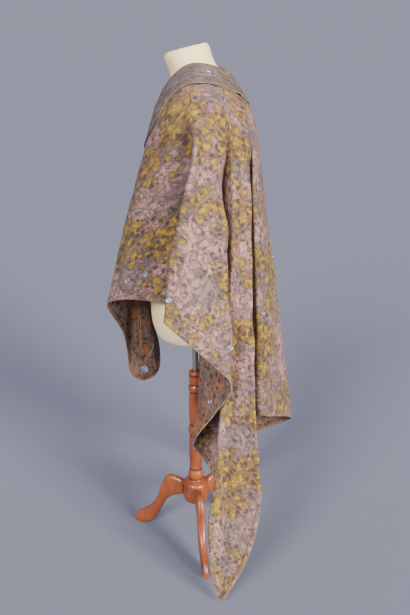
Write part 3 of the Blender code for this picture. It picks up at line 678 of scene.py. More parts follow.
def add_shell(name, inner, outer, cut, looks):
    """A closed wall between two grids, marked 0 outside, 1 inside and 2 at the rim."""
    rows, columns = inner.shape[:2]
    quads = grid_quads(rows, columns)
    rim = rim_of(rows, columns)
    after = np.roll(rim, -1)
    half = rows * columns
    edge = np.stack((after, rim, rim + half, after + half), -1)
    faces = np.concatenate((half + quads[:, ::-1], quads, edge))
    marks = np.repeat((0, 1, 2), (len(quads), len(quads), len(edge)))
    points = np.concatenate((inner.reshape(-1, 3), outer.reshape(-1, 3)))
    flat = np.tile(cut.reshape(-1, 2), (2, 1))
    return add_piece(name, points, faces.tolist(), looks, marks, flat)


def face_tree(grids, outward=True):
    """A search tree over one face of several sheets."""
    points, quads, start = [], [], 0
    for grid in grids:
        rows, columns = grid.shape[:2]
        quad = grid_quads(rows, columns) + start
        quads += (quad[:, ::-1] if outward else quad).tolist()
        points += grid.reshape(-1, 3).tolist()
        start += rows * columns
    return BVHTree.FromPolygons(points, quads)


def settle(tree, points):
    """The nearest places on a face, and the directions away from it there."""
    found = [tree.find_nearest(Vector(point)) for point in points]
    return np.array([place for place, *_ in found]), np.array([normal for _, normal, *_ in found])


# %% The halves as shells
outside = face_tree([half.outer for half in halves.values()])
inside = face_tree([half.inner for half in halves.values()], outward=False)
cloth = {}
for side, half in halves.items():
    cloth[side] = add_shell(f"cloth_half_{side}", half.inner, half.outer, half.cut, CLOTH_LOOKS)
    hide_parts(f"panel_{side}")
    print(cloth[side].name, len(cloth[side].data.polygons), "faces")

# %% [markdown]
# ## Hems
# The cut edge is turned over and sewn down, so it is thicker and paler there, where the fold wears. The hem
# is a band with a U-shaped section, skinned from column to column along the edge. Towards a sharp corner it
# narrows, as a mitred hem does, so that the two arms don't cross.

# %% Bands along the hems
HEM_WIDTH, HEM_LEAST_WIDTH, HEM_THICK, HEM_EDGE = 0.0110, 0.001, 0.0007, 0.0007
HEM_SWELL, HEM_TUCK = 1.15, 0.3
CORNER_PLACES = (0, 13, 23, 33)
MITRE_SLOPE = 0.36
CLEAR = 0.0001


def laid(tree, points, lift):
    """Points laid on a face and lifted off it."""
    place, normal = settle(tree, points)
    return place + normal * lift


def facing_out(points, faces):
    """The same faces, turned over if the closed mesh is inside out."""
    whole = sum(points[face[0]] @ np.cross(points[face[at]], points[face[at + 1]])
                for face in faces for at in range(1, len(face) - 1))
    return faces if whole > 0 else [list(reversed(face)) for face in faces]


def skin_rings(rings, strip_marks):
    """Faces and marks of a tube through rings of points, with both ends closed."""
    count, around = rings.shape[:2]
    points = rings.reshape(-1, 3)
    faces, marks = [], []
    for ring in range(count - 1):
        for at in range(around):
            here, beside = ring * around + at, ring * around + (at + 1) % around
            faces.append([here, beside, beside + around, here + around])
            marks.append(strip_marks[at])
    faces.append(list(range(around))[::-1])
    faces.append(list(range((count - 1) * around, count * around)))
    marks += [strip_marks[0]] * 2
    return points, facing_out(points, faces), marks


def inward_cut(edge):
    """Directions on the flat cut, square to an edge and towards the slit."""
    along = unit(np.gradient(edge, axis=0))
    square = np.stack((-along[:, 1], along[:, 0]), -1)
    return square * np.sign(np.sum(square * -edge, axis=1))[:, None]


hem_lines = {}
for side, half in halves.items():
    outer, inner, normal = half.outer[-1], half.inner[-1], half.normals[-1]
    up = unit(np.cross(normal, unit(np.gradient(outer, axis=0))))
    travel = line_lengths(outer)
    corners = [np.interp(place, half.places, travel) for place in CORNER_PLACES
               if half.places[0] < place < half.places[-1]]
    to_corner = np.min([np.abs(travel - corner) for corner in corners], axis=0)
    width = np.minimum(HEM_WIDTH, HEM_LEAST_WIDTH + MITRE_SLOPE * to_corner)
    edge = np.full_like(width, HEM_EDGE)
    steps = np.stack((width, width, width / 2, *np.outer((1, -1, -1, 1), edge),
                      width / 2, width, width, *np.outer((-HEM_TUCK, -HEM_TUCK), edge)), 1)
    rings = np.stack((
        laid(outside, outer + up * width[:, None], CLEAR),
        laid(outside, outer + up * width[:, None], HEM_THICK),
        laid(outside, outer + up * width[:, None] / 2, HEM_THICK * HEM_SWELL),
        outer + up * HEM_EDGE + normal * HEM_THICK,
        outer - up * HEM_EDGE + normal * CLEAR,
        inner - up * HEM_EDGE - normal * CLEAR,
        inner + up * HEM_EDGE - normal * HEM_THICK,
        laid(inside, inner + up * width[:, None] / 2, HEM_THICK * HEM_SWELL),
        laid(inside, inner + up * width[:, None], HEM_THICK),
        laid(inside, inner + up * width[:, None], CLEAR),
        inner - up * HEM_EDGE * HEM_TUCK - normal * CLEAR,
        outer - up * HEM_EDGE * HEM_TUCK + normal * CLEAR,
    ), 1)
    flat = half.cut[-1][:, None] + inward_cut(half.cut[-1])[:, None] * steps[..., None]
    points, faces, marks = skin_rings(rings, (0, 0, 0, 2, 2, 2, 1, 1, 1, 1, 1, 0))
    hem = add_piece(f"hem_{side}", points, faces, CLOTH_LOOKS, marks, flat.reshape(-1, 2))
    hem_lines[side] = (outer, inner, up, width)
    print(hem.name, len(hem.data.polygons), "faces")

# %% [markdown]
# ## Centre seams
# The halves are joined by a flat-felled seam, a narrow double strip with two rows of stitches. It shows
# inside the front corner, which hangs turned towards us. A strip lies on each face, from under the flaps to
# the hem.

# %% Felled seams
SEAM_HALF_WIDTH, SEAM_THICK, SEAM_START = 0.0055, 0.0006, 0.02
SEAM_SECTION = ((-1.0, CLEAR), (-0.92, SEAM_THICK), (0.0, SEAM_THICK * 1.2), (0.92, SEAM_THICK), (1.0, CLEAR))
seam_lines = []
for name, first, last in (("front", ("left", 0), ("right", -1)), ("back", ("right", 0), ("left", -1))):
    columns = [(halves[side], edge) for side, edge in (first, last)]
    for face, tree in (("outer", outside), ("inner", inside)):
        line = sum(getattr(half, face)[:, edge] for half, edge in columns) / 2
        facing = unit(sum(half.normals[:, edge] for half, edge in columns)) * (1 if face == "outer" else -1)
        across = unit(np.cross(facing, np.gradient(line, axis=0)))
        travel = line_lengths(line)
        keep = (travel > SEAM_START) & (travel < travel[-1] - HEM_WIDTH)
        line, across, travel = line[keep], across[keep], travel[keep]
        rings = np.stack([laid(tree, line + across * (aside * SEAM_HALF_WIDTH), lift)
                          for aside, lift in SEAM_SECTION], 1)
        flat = np.stack(np.broadcast_arrays(np.array([aside for aside, _ in SEAM_SECTION]) * SEAM_HALF_WIDTH,
                                            travel[:, None]), -1)
        look = 0 if face == "outer" else 1
        points, faces, marks = skin_rings(rings, [look] * len(SEAM_SECTION))
        seam = add_piece(f"seam_{name}_{face}", points, faces, CLOTH_LOOKS, marks, flat.reshape(-1, 2))
        seam_lines.append((tree, line, across))
        print(seam.name, "length", round(travel[-1] - travel[0], 3), "m")

# %% [markdown]
# ## Flaps beside the slit
# A strip is sewn flat along either edge of the slit to close it. It is made from the half's own points,
# moved out, so it lies on the shoulder everywhere, and its free lower edge lifts a little where the picture
# shows a shadow.

# %% Flaps
FLAP_WIDTH, FLAP_FRONT_REACH, FLAP_BACK_REACH, FLAP_TAPER = 0.068, 0.085, 0.015, 6
FLAP_ROWS, FLAP_LIFT, FLAP_WALL = 26, 0.0010, 0.0012
FLAP_PRINT_SHIFT = 4.0
FlapLift = namedtuple("FlapLift", "name place reach lift_mm")
FLAP_LIFTS = (
    FlapLift("front edge lifts", 2.6, 1.6, 1.5),
    FlapLift("shoulder", 6.5, 3.5, 2.0),
    FlapLift("back end lifts", 14.6, 1.3, 4.0),
    FlapLift("right back", 21.0, 2.0, 2.0),
    FlapLift("right shoulder", 27.0, 1.6, 1.0),
    FlapLift("right front", 31.2, 1.2, 2.5),
)


def down_each_run(values, travel, stops):
    """Values of a grid at given lengths down each of its columns."""
    shape = (stops.shape[0], values.shape[1], values.shape[2])
    found = np.zeros(shape)
    for column in range(values.shape[1]):
        for part in range(values.shape[2]):
            found[:, column, part] = np.interp(stops[:, column], travel[:, column], values[:, column, part])
    return found


flaps, flap_grids = {}, {}
for side, half in halves.items():
    ahead = np.cos(crest_angle(half.places))
    reach = np.where(ahead > 0, FLAP_FRONT_REACH, FLAP_BACK_REACH)
    length = FLAP_WIDTH + reach * ahead ** FLAP_TAPER
    stops = np.linspace(0, 1, FLAP_ROWS)[:, None] * length
    travel = run_lengths(half.outer)
    away = unit(down_each_run(half.normals, travel, stops))
    spread = sum(lift.lift_mm / 1000 * eased(lift.reach - np.abs(half.places - lift.place), 0, lift.reach)
                 for lift in FLAP_LIFTS)
    rise = FLAP_LIFT + spread * (np.linspace(0, 1, FLAP_ROWS) ** 4)[:, None]
    low = down_each_run(half.outer, travel, stops) + away * rise[..., None]
    high = low + away * FLAP_WALL
    flat = down_each_run(half.cut, travel, stops) + FLAP_PRINT_SHIFT
    flaps[side] = add_shell(f"slit_flap_{side}", low, high, flat, (flap_cotton, inner_cotton, worn_edge))
    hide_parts(f"flap_{side}")
    flap_grids[side] = (high, away, length)
    print(flaps[side].name, "edge length", round(line_lengths(high[-1])[-1], 3), "m")

# %% [markdown]
# ## Corner patches
# Each corner takes the strain of a cord or a pole, so a patch of the same cloth is sewn over it: inside at
# the front corner, outside at the two tails. Its points are taken from the cloth under it and moved away
# from it.

# %% Patches
Patch = namedtuple("Patch", "name middle reach middle_top end_top face")
PATCHES = (
    Patch("patch_a", 0, 0.85, 0.935, 0.895, -1),
    Patch("patch_b", 13, 0.5, 0.952, 0.982, 1),
    Patch("patch_c", 23, 0.5, 0.952, 0.982, 1),
)
PATCH_LOW_SHARE, PATCH_LIFT, PATCH_WALL = 0.9905, 0.0005, 0.0009
PATCH_COLUMNS, PATCH_ROWS = 41, 15
PATCH_PRINT_WIDE, PATCH_PRINT_LONG = 0.09, 1.1
PATCH_LOOKS = (outer_cotton, patch_cotton, worn_edge)
patches, patch_grids = {}, {}
for row in PATCHES:
    place = np.linspace(row.middle - row.reach, row.middle + row.reach, PATCH_COLUMNS)
    top = row.middle_top + (row.end_top - row.middle_top) * np.abs(place - row.middle) / row.reach
    share = top + (PATCH_LOW_SHARE - top) * np.linspace(0, 1, PATCH_ROWS)[:, None]
    wanted = drape(place, share)
    tree = outside if row.face > 0 else inside
    seat = settle(tree, wanted.reshape(-1, 3))[0].reshape(wanted.shape)
    away = normals_of(wanted) * row.face
    near, far = seat + away * PATCH_LIFT, seat + away * (PATCH_LIFT + PATCH_WALL)
    flat = np.stack(np.broadcast_arrays(place * PATCH_PRINT_WIDE, share * PATCH_PRINT_LONG), -1)
    layers = (near, far) if row.face > 0 else (far, near)
    patches[row.name] = add_shell(f"corner_{row.name}", *layers, flat, PATCH_LOOKS)
    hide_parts(row.name)
    patch_grids[row.name] = (far, away)
    print(patches[row.name].name, "over", [round(x, 3) for x in np.ptp(seat, axis=(0, 1))], "m")

# %% [markdown]
# ## Stitches
# Thousands of stitches would be thousands of objects, so they are one joined mesh. One stitch is a short
# bar with four sides that narrows at both ends, and arrays place a copy of it at every step along a row.
# Inside, the seams' rows stop below the shoulders, where the cloth lies against the form.

# %% Rows of stitches
STITCH_PITCH, STITCH_LENGTH, STITCH_RADIUS = 0.0046, 0.0034, 0.00040
HEM_STITCH_LIFT = HEM_THICK + STITCH_RADIUS * 0.5
SEAM_STITCH_LIFT = SEAM_THICK + STITCH_RADIUS * 0.7
HEM_SEWN_WIDTH, HEM_STITCH_ROW = 0.007, 0.8
SEAM_STITCH_ROWS = (-0.65, 0.65)
FLAP_STITCH_INSETS = (0.0025, 0.0085)
STITCH_ENDS = ((-0.5, 0.45), (-0.3, 1.0), (0.3, 1.0), (0.5, 0.45))
STITCH_SIDES = ((1, 0), (0, 1), (-1, 0), (0, -1))
rows_of_stitches = []


def sew(line, facing):
    """Note the middles, headings and facings of a row of stitches along a line."""
    travel = line_lengths(line)
    at = np.arange(STITCH_PITCH, travel[-1] - STITCH_PITCH, STITCH_PITCH)
    middle, ahead, up = (np.stack([np.interp(at, travel, values[:, part]) for part in range(3)], -1)
                         for values in (line, np.gradient(line, axis=0), facing))
    rows_of_stitches.append((middle, unit(ahead), unit(up)))


def sew_on(tree, line, lift):
    """Note a row of stitches that lies on a face, lifted by what it sews down."""
    place, normal = settle(tree, line)
    sew(place + normal * lift, normal)


for outer, inner, up, width in hem_lines.values():
    wide = width > HEM_SEWN_WIDTH
    for tree, edge in ((outside, outer), (inside, inner)):
        for run in np.split(np.arange(len(edge)), np.flatnonzero(np.diff(wide.astype(int))) + 1):
            if wide[run[0]] and len(run) > 3:
                sew_on(tree, (edge + up * (width * HEM_STITCH_ROW)[:, None])[run], HEM_STITCH_LIFT)
for tree, line, across in seam_lines:
    free = line[:, 2] < (CREST_HEIGHT if tree is inside else SLIT_SIDE_HEIGHT)
    for aside in SEAM_STITCH_ROWS:
        sew_on(tree, (line + across * (aside * SEAM_HALF_WIDTH))[free], SEAM_STITCH_LIFT)
for high, away, length in flap_grids.values():
    for inset in FLAP_STITCH_INSETS:
        row = (1 - inset / length) * (FLAP_ROWS - 1)
        whole = row.astype(int)
        column = np.arange(high.shape[1])
        part = (row - whole)[:, None]
        sew(high[whole, column] * (1 - part) + high[whole + 1, column] * part, away[-2])
for far, away in patch_grids.values():
    sew(far[1], away[1])
middle, ahead, up = (np.concatenate(parts) for parts in zip(*rows_of_stitches))
beside = np.cross(up, ahead)
corners = [ahead * (along * STITCH_LENGTH) + (beside * wide + up * tall) * (size * STITCH_RADIUS)
           for along, size in STITCH_ENDS for wide, tall in STITCH_SIDES]
points = (middle[:, None] + np.stack(corners, 1)).reshape(-1, 3)
bar = [[ring * 4 + at, ring * 4 + (at + 1) % 4, ring * 4 + 4 + (at + 1) % 4, ring * 4 + 4 + at]
       for ring in range(3) for at in range(4)] + [[3, 2, 1, 0], [12, 13, 14, 15]]
bar = np.array(facing_out(points[:16] - points[:16].mean(0), bar))
faces = (np.arange(len(middle))[:, None, None] * 16 + bar).reshape(-1, 4)
# Sewing thread, cotton: matt and a little darker than the faded cloth
thread, tree, shader = new_material("sewing_thread", Roughness=0.8)
spot = add_node(tree, "TexCoord").outputs["Object"]
look = two_tones(tree, solid_noise(tree, spot, 6.0), "#7d6c5f", "#94836f")
tree.links.new(look, shader.inputs["Base Color"])
stitches = add_piece("stitches", points, faces.tolist(), (thread,), np.zeros(len(faces)))
print("stitches:", len(middle), "faces:", len(faces))

# %% [markdown]
# ## The corner eyelet
# A pressed metal eyelet is a ring with a rolled edge on each face of the cloth. A torus, flattened in edit
# mode, has that rolled section. The hole is drilled through both halves and the patch with a Boolean, so it
# can be seen through.


# %% Eyelet rings and their hole
def start_clean():
    """Back to object mode with nothing selected."""
    if bpy.context.object and bpy.context.object.mode != "OBJECT":
        bpy.ops.object.mode_set(mode="OBJECT")
    bpy.ops.object.select_all(action="DESELECT")


def choose(piece):
    """Make a piece the only one selected, and active."""
    start_clean()
    bpy.context.view_layer.objects.active = piece
    piece.select_set(True)


def put_on(piece, place, normal):
    """Turn and move a piece's mesh so that its Z points along a normal. Its object stays at the origin."""
    turn = Vector(normal).to_track_quat("Z", "Y").to_matrix().to_4x4()
    turn.translation = Vector(place)
    piece.data.transform(turn)


def apply_all(piece):
    """Apply a piece's modifiers."""
    choose(piece)
    for modifier in list(piece.modifiers):
        bpy.ops.object.modifier_apply(modifier=modifier.name)


def soften_edges(piece, name, width):
    """Round a piece's sharp edges over with a small bevel."""
    soften = piece.modifiers.new(name, "BEVEL")
    soften.width = width
    soften.segments = 2
    soften.limit_method = "ANGLE"
    apply_all(piece)


EYELET_RING, EYELET_ROLL, EYELET_FLATTEN, EYELET_HOLE = 0.01155, 0.0030, 0.42, 0.0090
EYELET_SEAT = EYELET_ROLL * EYELET_FLATTEN * 0.6
EYELET_PLACE, EYELET_SHARE = -0.05, 0.962
DRILL_LENGTH = 0.04
middle = drape(np.array([EYELET_PLACE]), EYELET_SHARE)
around_places = EYELET_PLACE + np.linspace(-0.02, 0.02, 3)
around_shares = EYELET_SHARE + np.linspace(-0.01, 0.01, 3)
facing = normals_of(drape(around_places, around_shares[:, None]))[1, 1]
# Grey zinc plating, dulled by handling: half-rough metal with darker scuffs
grey_metal, tree, shader = new_material("dull_zinc_plate", Metallic=1.0)
spot = add_node(tree, "TexCoord").outputs["Object"]
scuff = solid_noise(tree, spot, 3.0, 3.0)
rough = add_node(tree, "MapRange", {"Value": scuff, "To Min": 0.62, "To Max": 0.4})
tree.links.new(two_tones(tree, scuff, "#8f9194", "#cccecf"), shader.inputs["Base Color"])
tree.links.new(rough.outputs[0], shader.inputs["Roughness"])

Eyelet = namedtuple("Eyelet", "node tree aim lift")
EYELETS = (
    Eyelet("eyelet_outer", outside, facing, 0.0003),
    Eyelet("eyelet_inner", inside, -facing, 0.0017),
)
for eyelet in EYELETS:
    start_clean()
    bpy.ops.mesh.primitive_torus_add(major_radius=EYELET_RING, minor_radius=EYELET_ROLL,
                                     major_segments=56, minor_segments=16)
    ring = bpy.context.object
    bpy.ops.object.mode_set(mode="EDIT")
    bpy.ops.mesh.select_all(action="SELECT")
    bpy.ops.transform.resize(value=(1, 1, EYELET_FLATTEN))
    bpy.ops.object.mode_set(mode="OBJECT")
    ring.name = f"corner_{eyelet.node}"
    put_on(ring, laid(eyelet.tree, middle, eyelet.lift + EYELET_SEAT)[0], eyelet.aim)
    ring.data.shade_smooth()
    ring.data.materials.append(grey_metal)
    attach(ring, "root")
    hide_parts(eyelet.node)

start_clean()
bpy.ops.mesh.primitive_cylinder_add(vertices=40, radius=EYELET_HOLE, depth=DRILL_LENGTH)
drill = bpy.context.object
put_on(drill, middle[0], facing)
seam_strips = [bpy.data.objects[f"seam_front_{face}"] for face in ("outer", "inner")]
layers = (*cloth.values(), patches["patch_a"], *seam_strips)
for layer in layers:
    cut = layer.modifiers.new("eyelet_hole", "BOOLEAN")
    cut.object = drill
    apply_all(layer)
bpy.data.objects.remove(drill, do_unlink=True)
print("eyelet drilled through", len(layers), "layers at", middle[0].round(3))

# %% [markdown]
# ## Buttons
# The buttons are stamped metal discs with a raised rim and a dished middle, sewn on through the middle. One
# is modelled from a cylinder by insetting and sinking its top face, and copied to each place that the
# solids give, where it is drawn half into the cloth.

# %% One button, and a copy at each place
BUTTON_RADIUS, BUTTON_DEPTH, BUTTON_EDGE = 0.0073, 0.0020, 0.0003
Dish = namedtuple("Dish", "inset sink")
DISHES = (Dish(0.0008, -0.0007), Dish(0.0008, 0.0007), Dish(0.0006, 0.0008), Dish(0.0019, -0.0001))
start_clean()
bpy.ops.mesh.primitive_cylinder_add(vertices=32, radius=BUTTON_RADIUS, depth=BUTTON_DEPTH)
button = bpy.context.object
bpy.ops.object.mode_set(mode="EDIT")
bpy.ops.mesh.select_mode(type="FACE")
bpy.ops.mesh.select_all(action="DESELECT")
bpy.ops.object.mode_set(mode="OBJECT")
max(button.data.polygons, key=lambda face: face.center.z).select = True
bpy.ops.object.mode_set(mode="EDIT")
for dish in DISHES:
    bpy.ops.mesh.inset(thickness=dish.inset)
    bpy.ops.transform.translate(value=(0, 0, -dish.sink))
bpy.ops.object.mode_set(mode="OBJECT")
soften_edges(button, "rolled_edges", BUTTON_EDGE)
bpy.ops.object.shade_smooth_by_angle(angle=math.radians(50))
button.data.materials.append(grey_metal)
INNER_BUTTONS = ("button_tail", "button_right_tail")
button_nodes = sorted(name for name in nodes if name.startswith("button_"))
flap_tree = face_tree([flap_grids["left"][0]])
for name in button_nodes:
    low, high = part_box(name)
    tree = inside if name in INNER_BUTTONS else flap_tree if name == "button_flap" else outside
    seat, away = settle(tree, [(low + high) / 2])
    copy = bpy.data.objects.new(name.replace("button", "stamped_button"), button.data.copy())
    bpy.context.scene.collection.objects.link(copy)
    put_on(copy, seat[0], away[0])
    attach(copy, "root")
    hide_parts(name)
bpy.data.objects.remove(button, do_unlink=True)
print("buttons:", len(button_nodes))

# %% [markdown]
# ## The dress form
# The form is papier-mache under a cream cotton cover, stretched smooth. The solid's own mesh already
# follows the cloth on the shoulders, so a copy of it is merged, turned back to quads and subdivided, and
# its cover is puckered where it is gathered at the neck's rim and at the bottom. The hard edges of the
# rod's bore are creased before that, and the puckers leave it alone, so that it keeps its width round the
# rod.

# %% Form
MERGE_WITHIN, QUAD_ANGLE, CREASE_HOLD, ROUNDING_LEVELS = 0.00002, math.radians(60), 0.7, 2
PUCKERS, PUCKER_DEPTH, PUCKER_SWAY = 22, 0.0011, 1.7
BORE_EDGE_ANGLE = math.radians(80)


def smooth_copy(node, name, hard_angle):
    """A merged and subdivided copy of a solid, with the edges that are sharper than an angle creased."""
    piece = bpy.data.objects.new(name, nodes[node].data.copy())
    bpy.context.scene.collection.objects.link(piece)
    choose(piece)
    bpy.ops.object.mode_set(mode="EDIT")
    bpy.ops.mesh.select_all(action="SELECT")
    bpy.ops.mesh.remove_doubles(threshold=MERGE_WITHIN)
    bpy.ops.mesh.tris_convert_to_quads(face_threshold=QUAD_ANGLE, shape_threshold=QUAD_ANGLE)
    bpy.ops.mesh.select_mode(type="EDGE")
    bpy.ops.mesh.select_all(action="DESELECT")
    bpy.ops.mesh.edges_select_sharp(sharpness=hard_angle)
    bpy.ops.transform.edge_crease(value=CREASE_HOLD)
    bpy.ops.object.mode_set(mode="OBJECT")
    rounding = piece.modifiers.new("rounding", "SUBSURF")
    rounding.levels = rounding.render_levels = ROUNDING_LEVELS
    apply_all(piece)
    piece.data.materials.clear()
    piece.data.shade_smooth()
    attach(piece, "root")
    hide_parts(node)
    return piece


form = smooth_copy("form", "covered_form", BORE_EDGE_ANGLE)
points = np.array([vertex.co for vertex in form.data.vertices])
low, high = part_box("form")
from_axis = points[:, :2] - STAND[:2]
angle = np.arctan2(from_axis[:, 1], from_axis[:, 0])
at_rim = eased(points[:, 2], high.z - 0.022, high.z - 0.006)
at_bottom = eased(-points[:, 2], -low.z - 0.05, -low.z - 0.012)
off_bore = eased(np.linalg.norm(from_axis, axis=1), 0.02, 0.05)
gather = np.maximum(at_rim, at_bottom) * off_bore
ripple = np.sin(PUCKERS * angle + PUCKER_SWAY * np.sin(3 * angle)) * 0.5 - 0.5
out = unit(np.stack((np.cos(angle), np.sin(angle), np.zeros_like(angle)), -1))
form.data.vertices.foreach_set("co", (points + out * (ripple * gather * PUCKER_DEPTH)[:, None]).ravel())
# Cream cotton stretched over the form: matt, with a fine weave and a little yellowing
cover, tree, shader = new_material("stretched_cotton_cover", Roughness=0.85, Sheen_Weight=0.2)
spot = add_node(tree, "TexCoord").outputs["Object"]
ageing = solid_noise(tree, spot, 90, 3.0)
tree.links.new(two_tones(tree, ageing, "#ffebb6", "#fadc9c"), shader.inputs["Base Color"])
weave = solid_noise(tree, spot, 1.5)
bump = add_node(tree, "Bump", {"Height": weave, "Strength": 0.25, "Distance": 0.0003})
tree.links.new(bump.outputs[0], shader.inputs["Normal"])
form.data.materials.append(cover)
print("form:", len(form.data.polygons), "faces")

# %% [markdown]
# ## The turned column and its rod
# A turner cuts beads and grooves into a round post. The same rows of height and radius are followed here: a
# circle is extruded from the floor of the rod's bore, up to its mouth and then down the outside, from row
# to row, and scaled each time. A subdivision rounds the beads. The drawn rod is a cylinder with its ends
# turned over.

# %% Column
Turning = namedtuple("Turning", "name height radius")
COLUMN = (
    Turning("bore floor", 0.4972, 0.0083),
    Turning("bore side", 0.4984, 0.0083),
    Turning("bore mouth", 0.5478, 0.0083),
    Turning("top inside", 0.5482, 0.0095),
    Turning("top edge", 0.5480, 0.0172),
    Turning("top rim", 0.5445, 0.0197),
    Turning("top rim foot", 0.5380, 0.0197),
    Turning("upper neck", 0.5350, 0.0184),
    Turning("upper shaft", 0.5200, 0.0189),
    Turning("first groove", 0.5085, 0.0178),
    Turning("first groove floor", 0.5070, 0.0160),
    Turning("first bead top", 0.5030, 0.0198),
    Turning("first bead", 0.4965, 0.0208),
    Turning("first bead foot", 0.4890, 0.0198),
    Turning("under first bead", 0.4850, 0.0160),
    Turning("shaft top", 0.4800, 0.0184),
    Turning("shaft", 0.4700, 0.0188),
    Turning("shaft middle", 0.4300, 0.0194),
    Turning("shaft foot", 0.3900, 0.0186),
    Turning("second groove", 0.3810, 0.0158),
    Turning("second bead top", 0.3740, 0.0203),
    Turning("second bead", 0.3640, 0.0215),
    Turning("second bead foot", 0.3530, 0.0203),
    Turning("under second bead", 0.3470, 0.0158),
    Turning("lower shaft top", 0.3400, 0.0186),
    Turning("lower shaft", 0.3300, 0.0190),
    Turning("lower shaft middle", 0.2800, 0.0192),
    Turning("lower neck", 0.2360, 0.0168),
    Turning("third bead top", 0.2280, 0.0205),
    Turning("third bead", 0.2185, 0.0234),
    Turning("third bead foot", 0.2090, 0.0214),
    Turning("third groove", 0.2045, 0.0196),
    Turning("hub step", 0.2000, 0.0215),
    Turning("hub shoulder", 0.1955, 0.0335),
    Turning("hub ring", 0.1890, 0.0374),
    Turning("hub", 0.1850, 0.0375),
    Turning("hub low", 0.1390, 0.0375),
    Turning("hub edge", 0.1300, 0.0325),
    Turning("hub drop", 0.1225, 0.0190),
)
start_clean()
bpy.ops.mesh.primitive_circle_add(vertices=40, radius=COLUMN[0].radius, fill_type="NGON",
                                  location=(STAND[0], STAND[1], COLUMN[0].height))
column = bpy.context.object
column.name = "turned_column"
bpy.ops.object.transform_apply(location=True, rotation=True, scale=True)
bpy.ops.object.mode_set(mode="EDIT")
bpy.ops.mesh.select_all(action="SELECT")
for above, row in zip(COLUMN, COLUMN[1:]):
    bpy.ops.mesh.extrude_region_move(TRANSFORM_OT_translate={"value": (0, 0, row.height - above.height)})
    wider = row.radius / above.radius
    bpy.ops.transform.resize(value=(wider, wider, 1), center_override=(STAND[0], STAND[1], row.height))
bpy.ops.mesh.select_all(action="SELECT")
bpy.ops.mesh.normals_make_consistent(inside=False)
bpy.ops.object.mode_set(mode="OBJECT")
rounding = column.modifiers.new("turned", "SUBSURF")
rounding.levels = rounding.render_levels = ROUNDING_LEVELS
apply_all(column)
column.data.shade_smooth()
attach(column, "root")
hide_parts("column")
print("column:", len(column.data.polygons), "faces, height", [round(x, 3) for x in column.dimensions])

# %% Rod
ROD_BOTTOM, ROD_TOP, ROD_RADIUS, ROD_EDGE = 0.500, 0.700, 0.008, 0.0008
start_clean()
bpy.ops.mesh.primitive_cylinder_add(vertices=48, radius=ROD_RADIUS, depth=ROD_TOP - ROD_BOTTOM,
                                    location=(STAND[0], STAND[1], (ROD_TOP + ROD_BOTTOM) / 2))
rod = bpy.context.object
rod.name = "steel_rod"
bpy.ops.object.transform_apply(location=True, rotation=True, scale=True)
soften_edges(rod, "turned_ends", ROD_EDGE)
bpy.ops.object.shade_smooth_by_angle(angle=math.radians(40))
# Drawn steel: bright metal with fine lines along its length
steel, tree, shader = new_material("drawn_steel", Metallic=1.0)
shader.inputs["Base Color"].default_value = colour("#b8b0a6")
spot = add_node(tree, "TexCoord").outputs["Object"]
drawn = add_node(tree, "Mapping", {"Vector": spot, "Scale": (1000 / 1.0, 1000 / 1.0, 1000 / 60)})
lines = add_node(tree, "TexNoise", {"Vector": drawn.outputs[0], "Scale": 1.0})
rough = add_node(tree, "MapRange", {"Value": lines.outputs[0], "To Min": 0.34, "To Max": 0.52})
tree.links.new(rough.outputs[0], shader.inputs["Roughness"])
rod.data.materials.append(steel)
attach(rod, "root")
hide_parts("rod")
print("rod:", len(rod.data.polygons), "faces")

# %% [markdown]
# ## Cabriole legs
# Each leg is sawn from a board and rounded over, so it is flat-sided with soft edges. The solid's sections
# are copied and subdivided, and the sharp edge of the sole is creased first so that it still stands flat.
# Legs and column share one wood, and shade is painted into the column's turned grooves as a darker brown.

# %% Legs
PAINTED_SHADE_GROOVES = (0.5370, 0.5075, 0.4850, 0.3810, 0.3470, 0.2375, 0.2045)
GROOVE_SHADE_REACH, GROOVE_SHADE_FULL = 0.0045, 0.0012
SOLE_EDGE_ANGLE = math.radians(60)
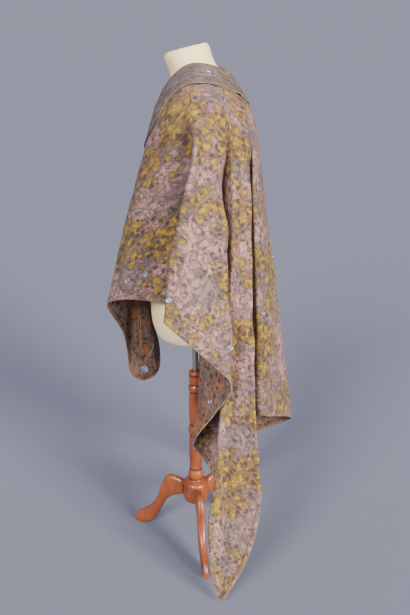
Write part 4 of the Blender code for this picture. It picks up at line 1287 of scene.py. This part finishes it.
# Stained beech under gloss varnish: brown-red, darker streaks along the grain, and painted shade in the
# turned grooves
wood, tree, shader = new_material("varnished_beech", Coat_Weight=0.5, Coat_Roughness=0.18, IOR=1.5)
spot = add_node(tree, "TexCoord").outputs["Object"]
grain = add_node(tree, "Mapping", {"Vector": spot, "Scale": (1000 / 5.0, 1000 / 5.0, 1000 / 70)})
streaks = add_node(tree, "TexNoise", {"Vector": grain.outputs[0], "Scale": 1.0, "Detail": 4.0,
                                      "Distortion": 0.6}).outputs[0]
stain = solid_noise(tree, spot, 55)
dark = add_node(tree, "MapRange", {"Value": stain, "From Min": 0.45, "From Max": 0.75})
look = over(tree, two_tones(tree, streaks, "#702e10", "#b06030"), dark.outputs[0], 0.6, colour("#431a0c"))
height = add_node(tree, "SeparateXYZ", {0: spot}).outputs[2]
# Painted shade: a near-black brown in a narrow band round each turned groove
for groove in PAINTED_SHADE_GROOVES:
    beside = add_node(tree, "Math", {0: height, 1: groove}, operation="SUBTRACT")
    away = add_node(tree, "Math", {0: beside.outputs[0]}, operation="ABSOLUTE")
    look = ink(tree, look, away.outputs[0], GROOVE_SHADE_REACH, GROOVE_SHADE_FULL, 0.75, "#2e1208")
tree.links.new(look, shader.inputs["Base Color"])
rough = add_node(tree, "MapRange", {"Value": streaks, "To Min": 0.3, "To Max": 0.5})
tree.links.new(rough.outputs[0], shader.inputs["Roughness"])
bump = add_node(tree, "Bump", {"Height": streaks, "Strength": 0.15, "Distance": 0.0003})
tree.links.new(bump.outputs[0], shader.inputs["Normal"])
column.data.materials.append(wood)
for name in ("near", "front", "back"):
    leg = smooth_copy(f"leg_{name}", f"cabriole_leg_{name}", SOLE_EDGE_ANGLE)
    leg.data.materials.append(wood)
    print(leg.name, len(leg.data.polygons), "faces, lowest", round(min(v.co.z for v in leg.data.vertices), 4))

# %% [markdown]
# ## What the cloth was cut from
# The flat size of each sheet of cloth is listed: the extent and the area of what hangs here, in metres.

# %% Flat sizes of the cloth
Cut = namedtuple("Cut", "width length area")
CUTS = {"left": Cut(1.45, 1.43, 0.86), "right": Cut(1.38, 0.90, 0.72)}
FLAP_CUTS = {"left": Cut(0.50, 0.075, 0.034), "right": Cut(0.465, 0.075, 0.031)}
for side in halves:
    for piece, cut, under in ((cloth[side], CUTS[side], "covered_form"),
                              (flaps[side], FLAP_CUTS[side], f"cloth_half_{side}")):
        print(piece.name, "is cut from", cut.width, "by", cut.length, "m")
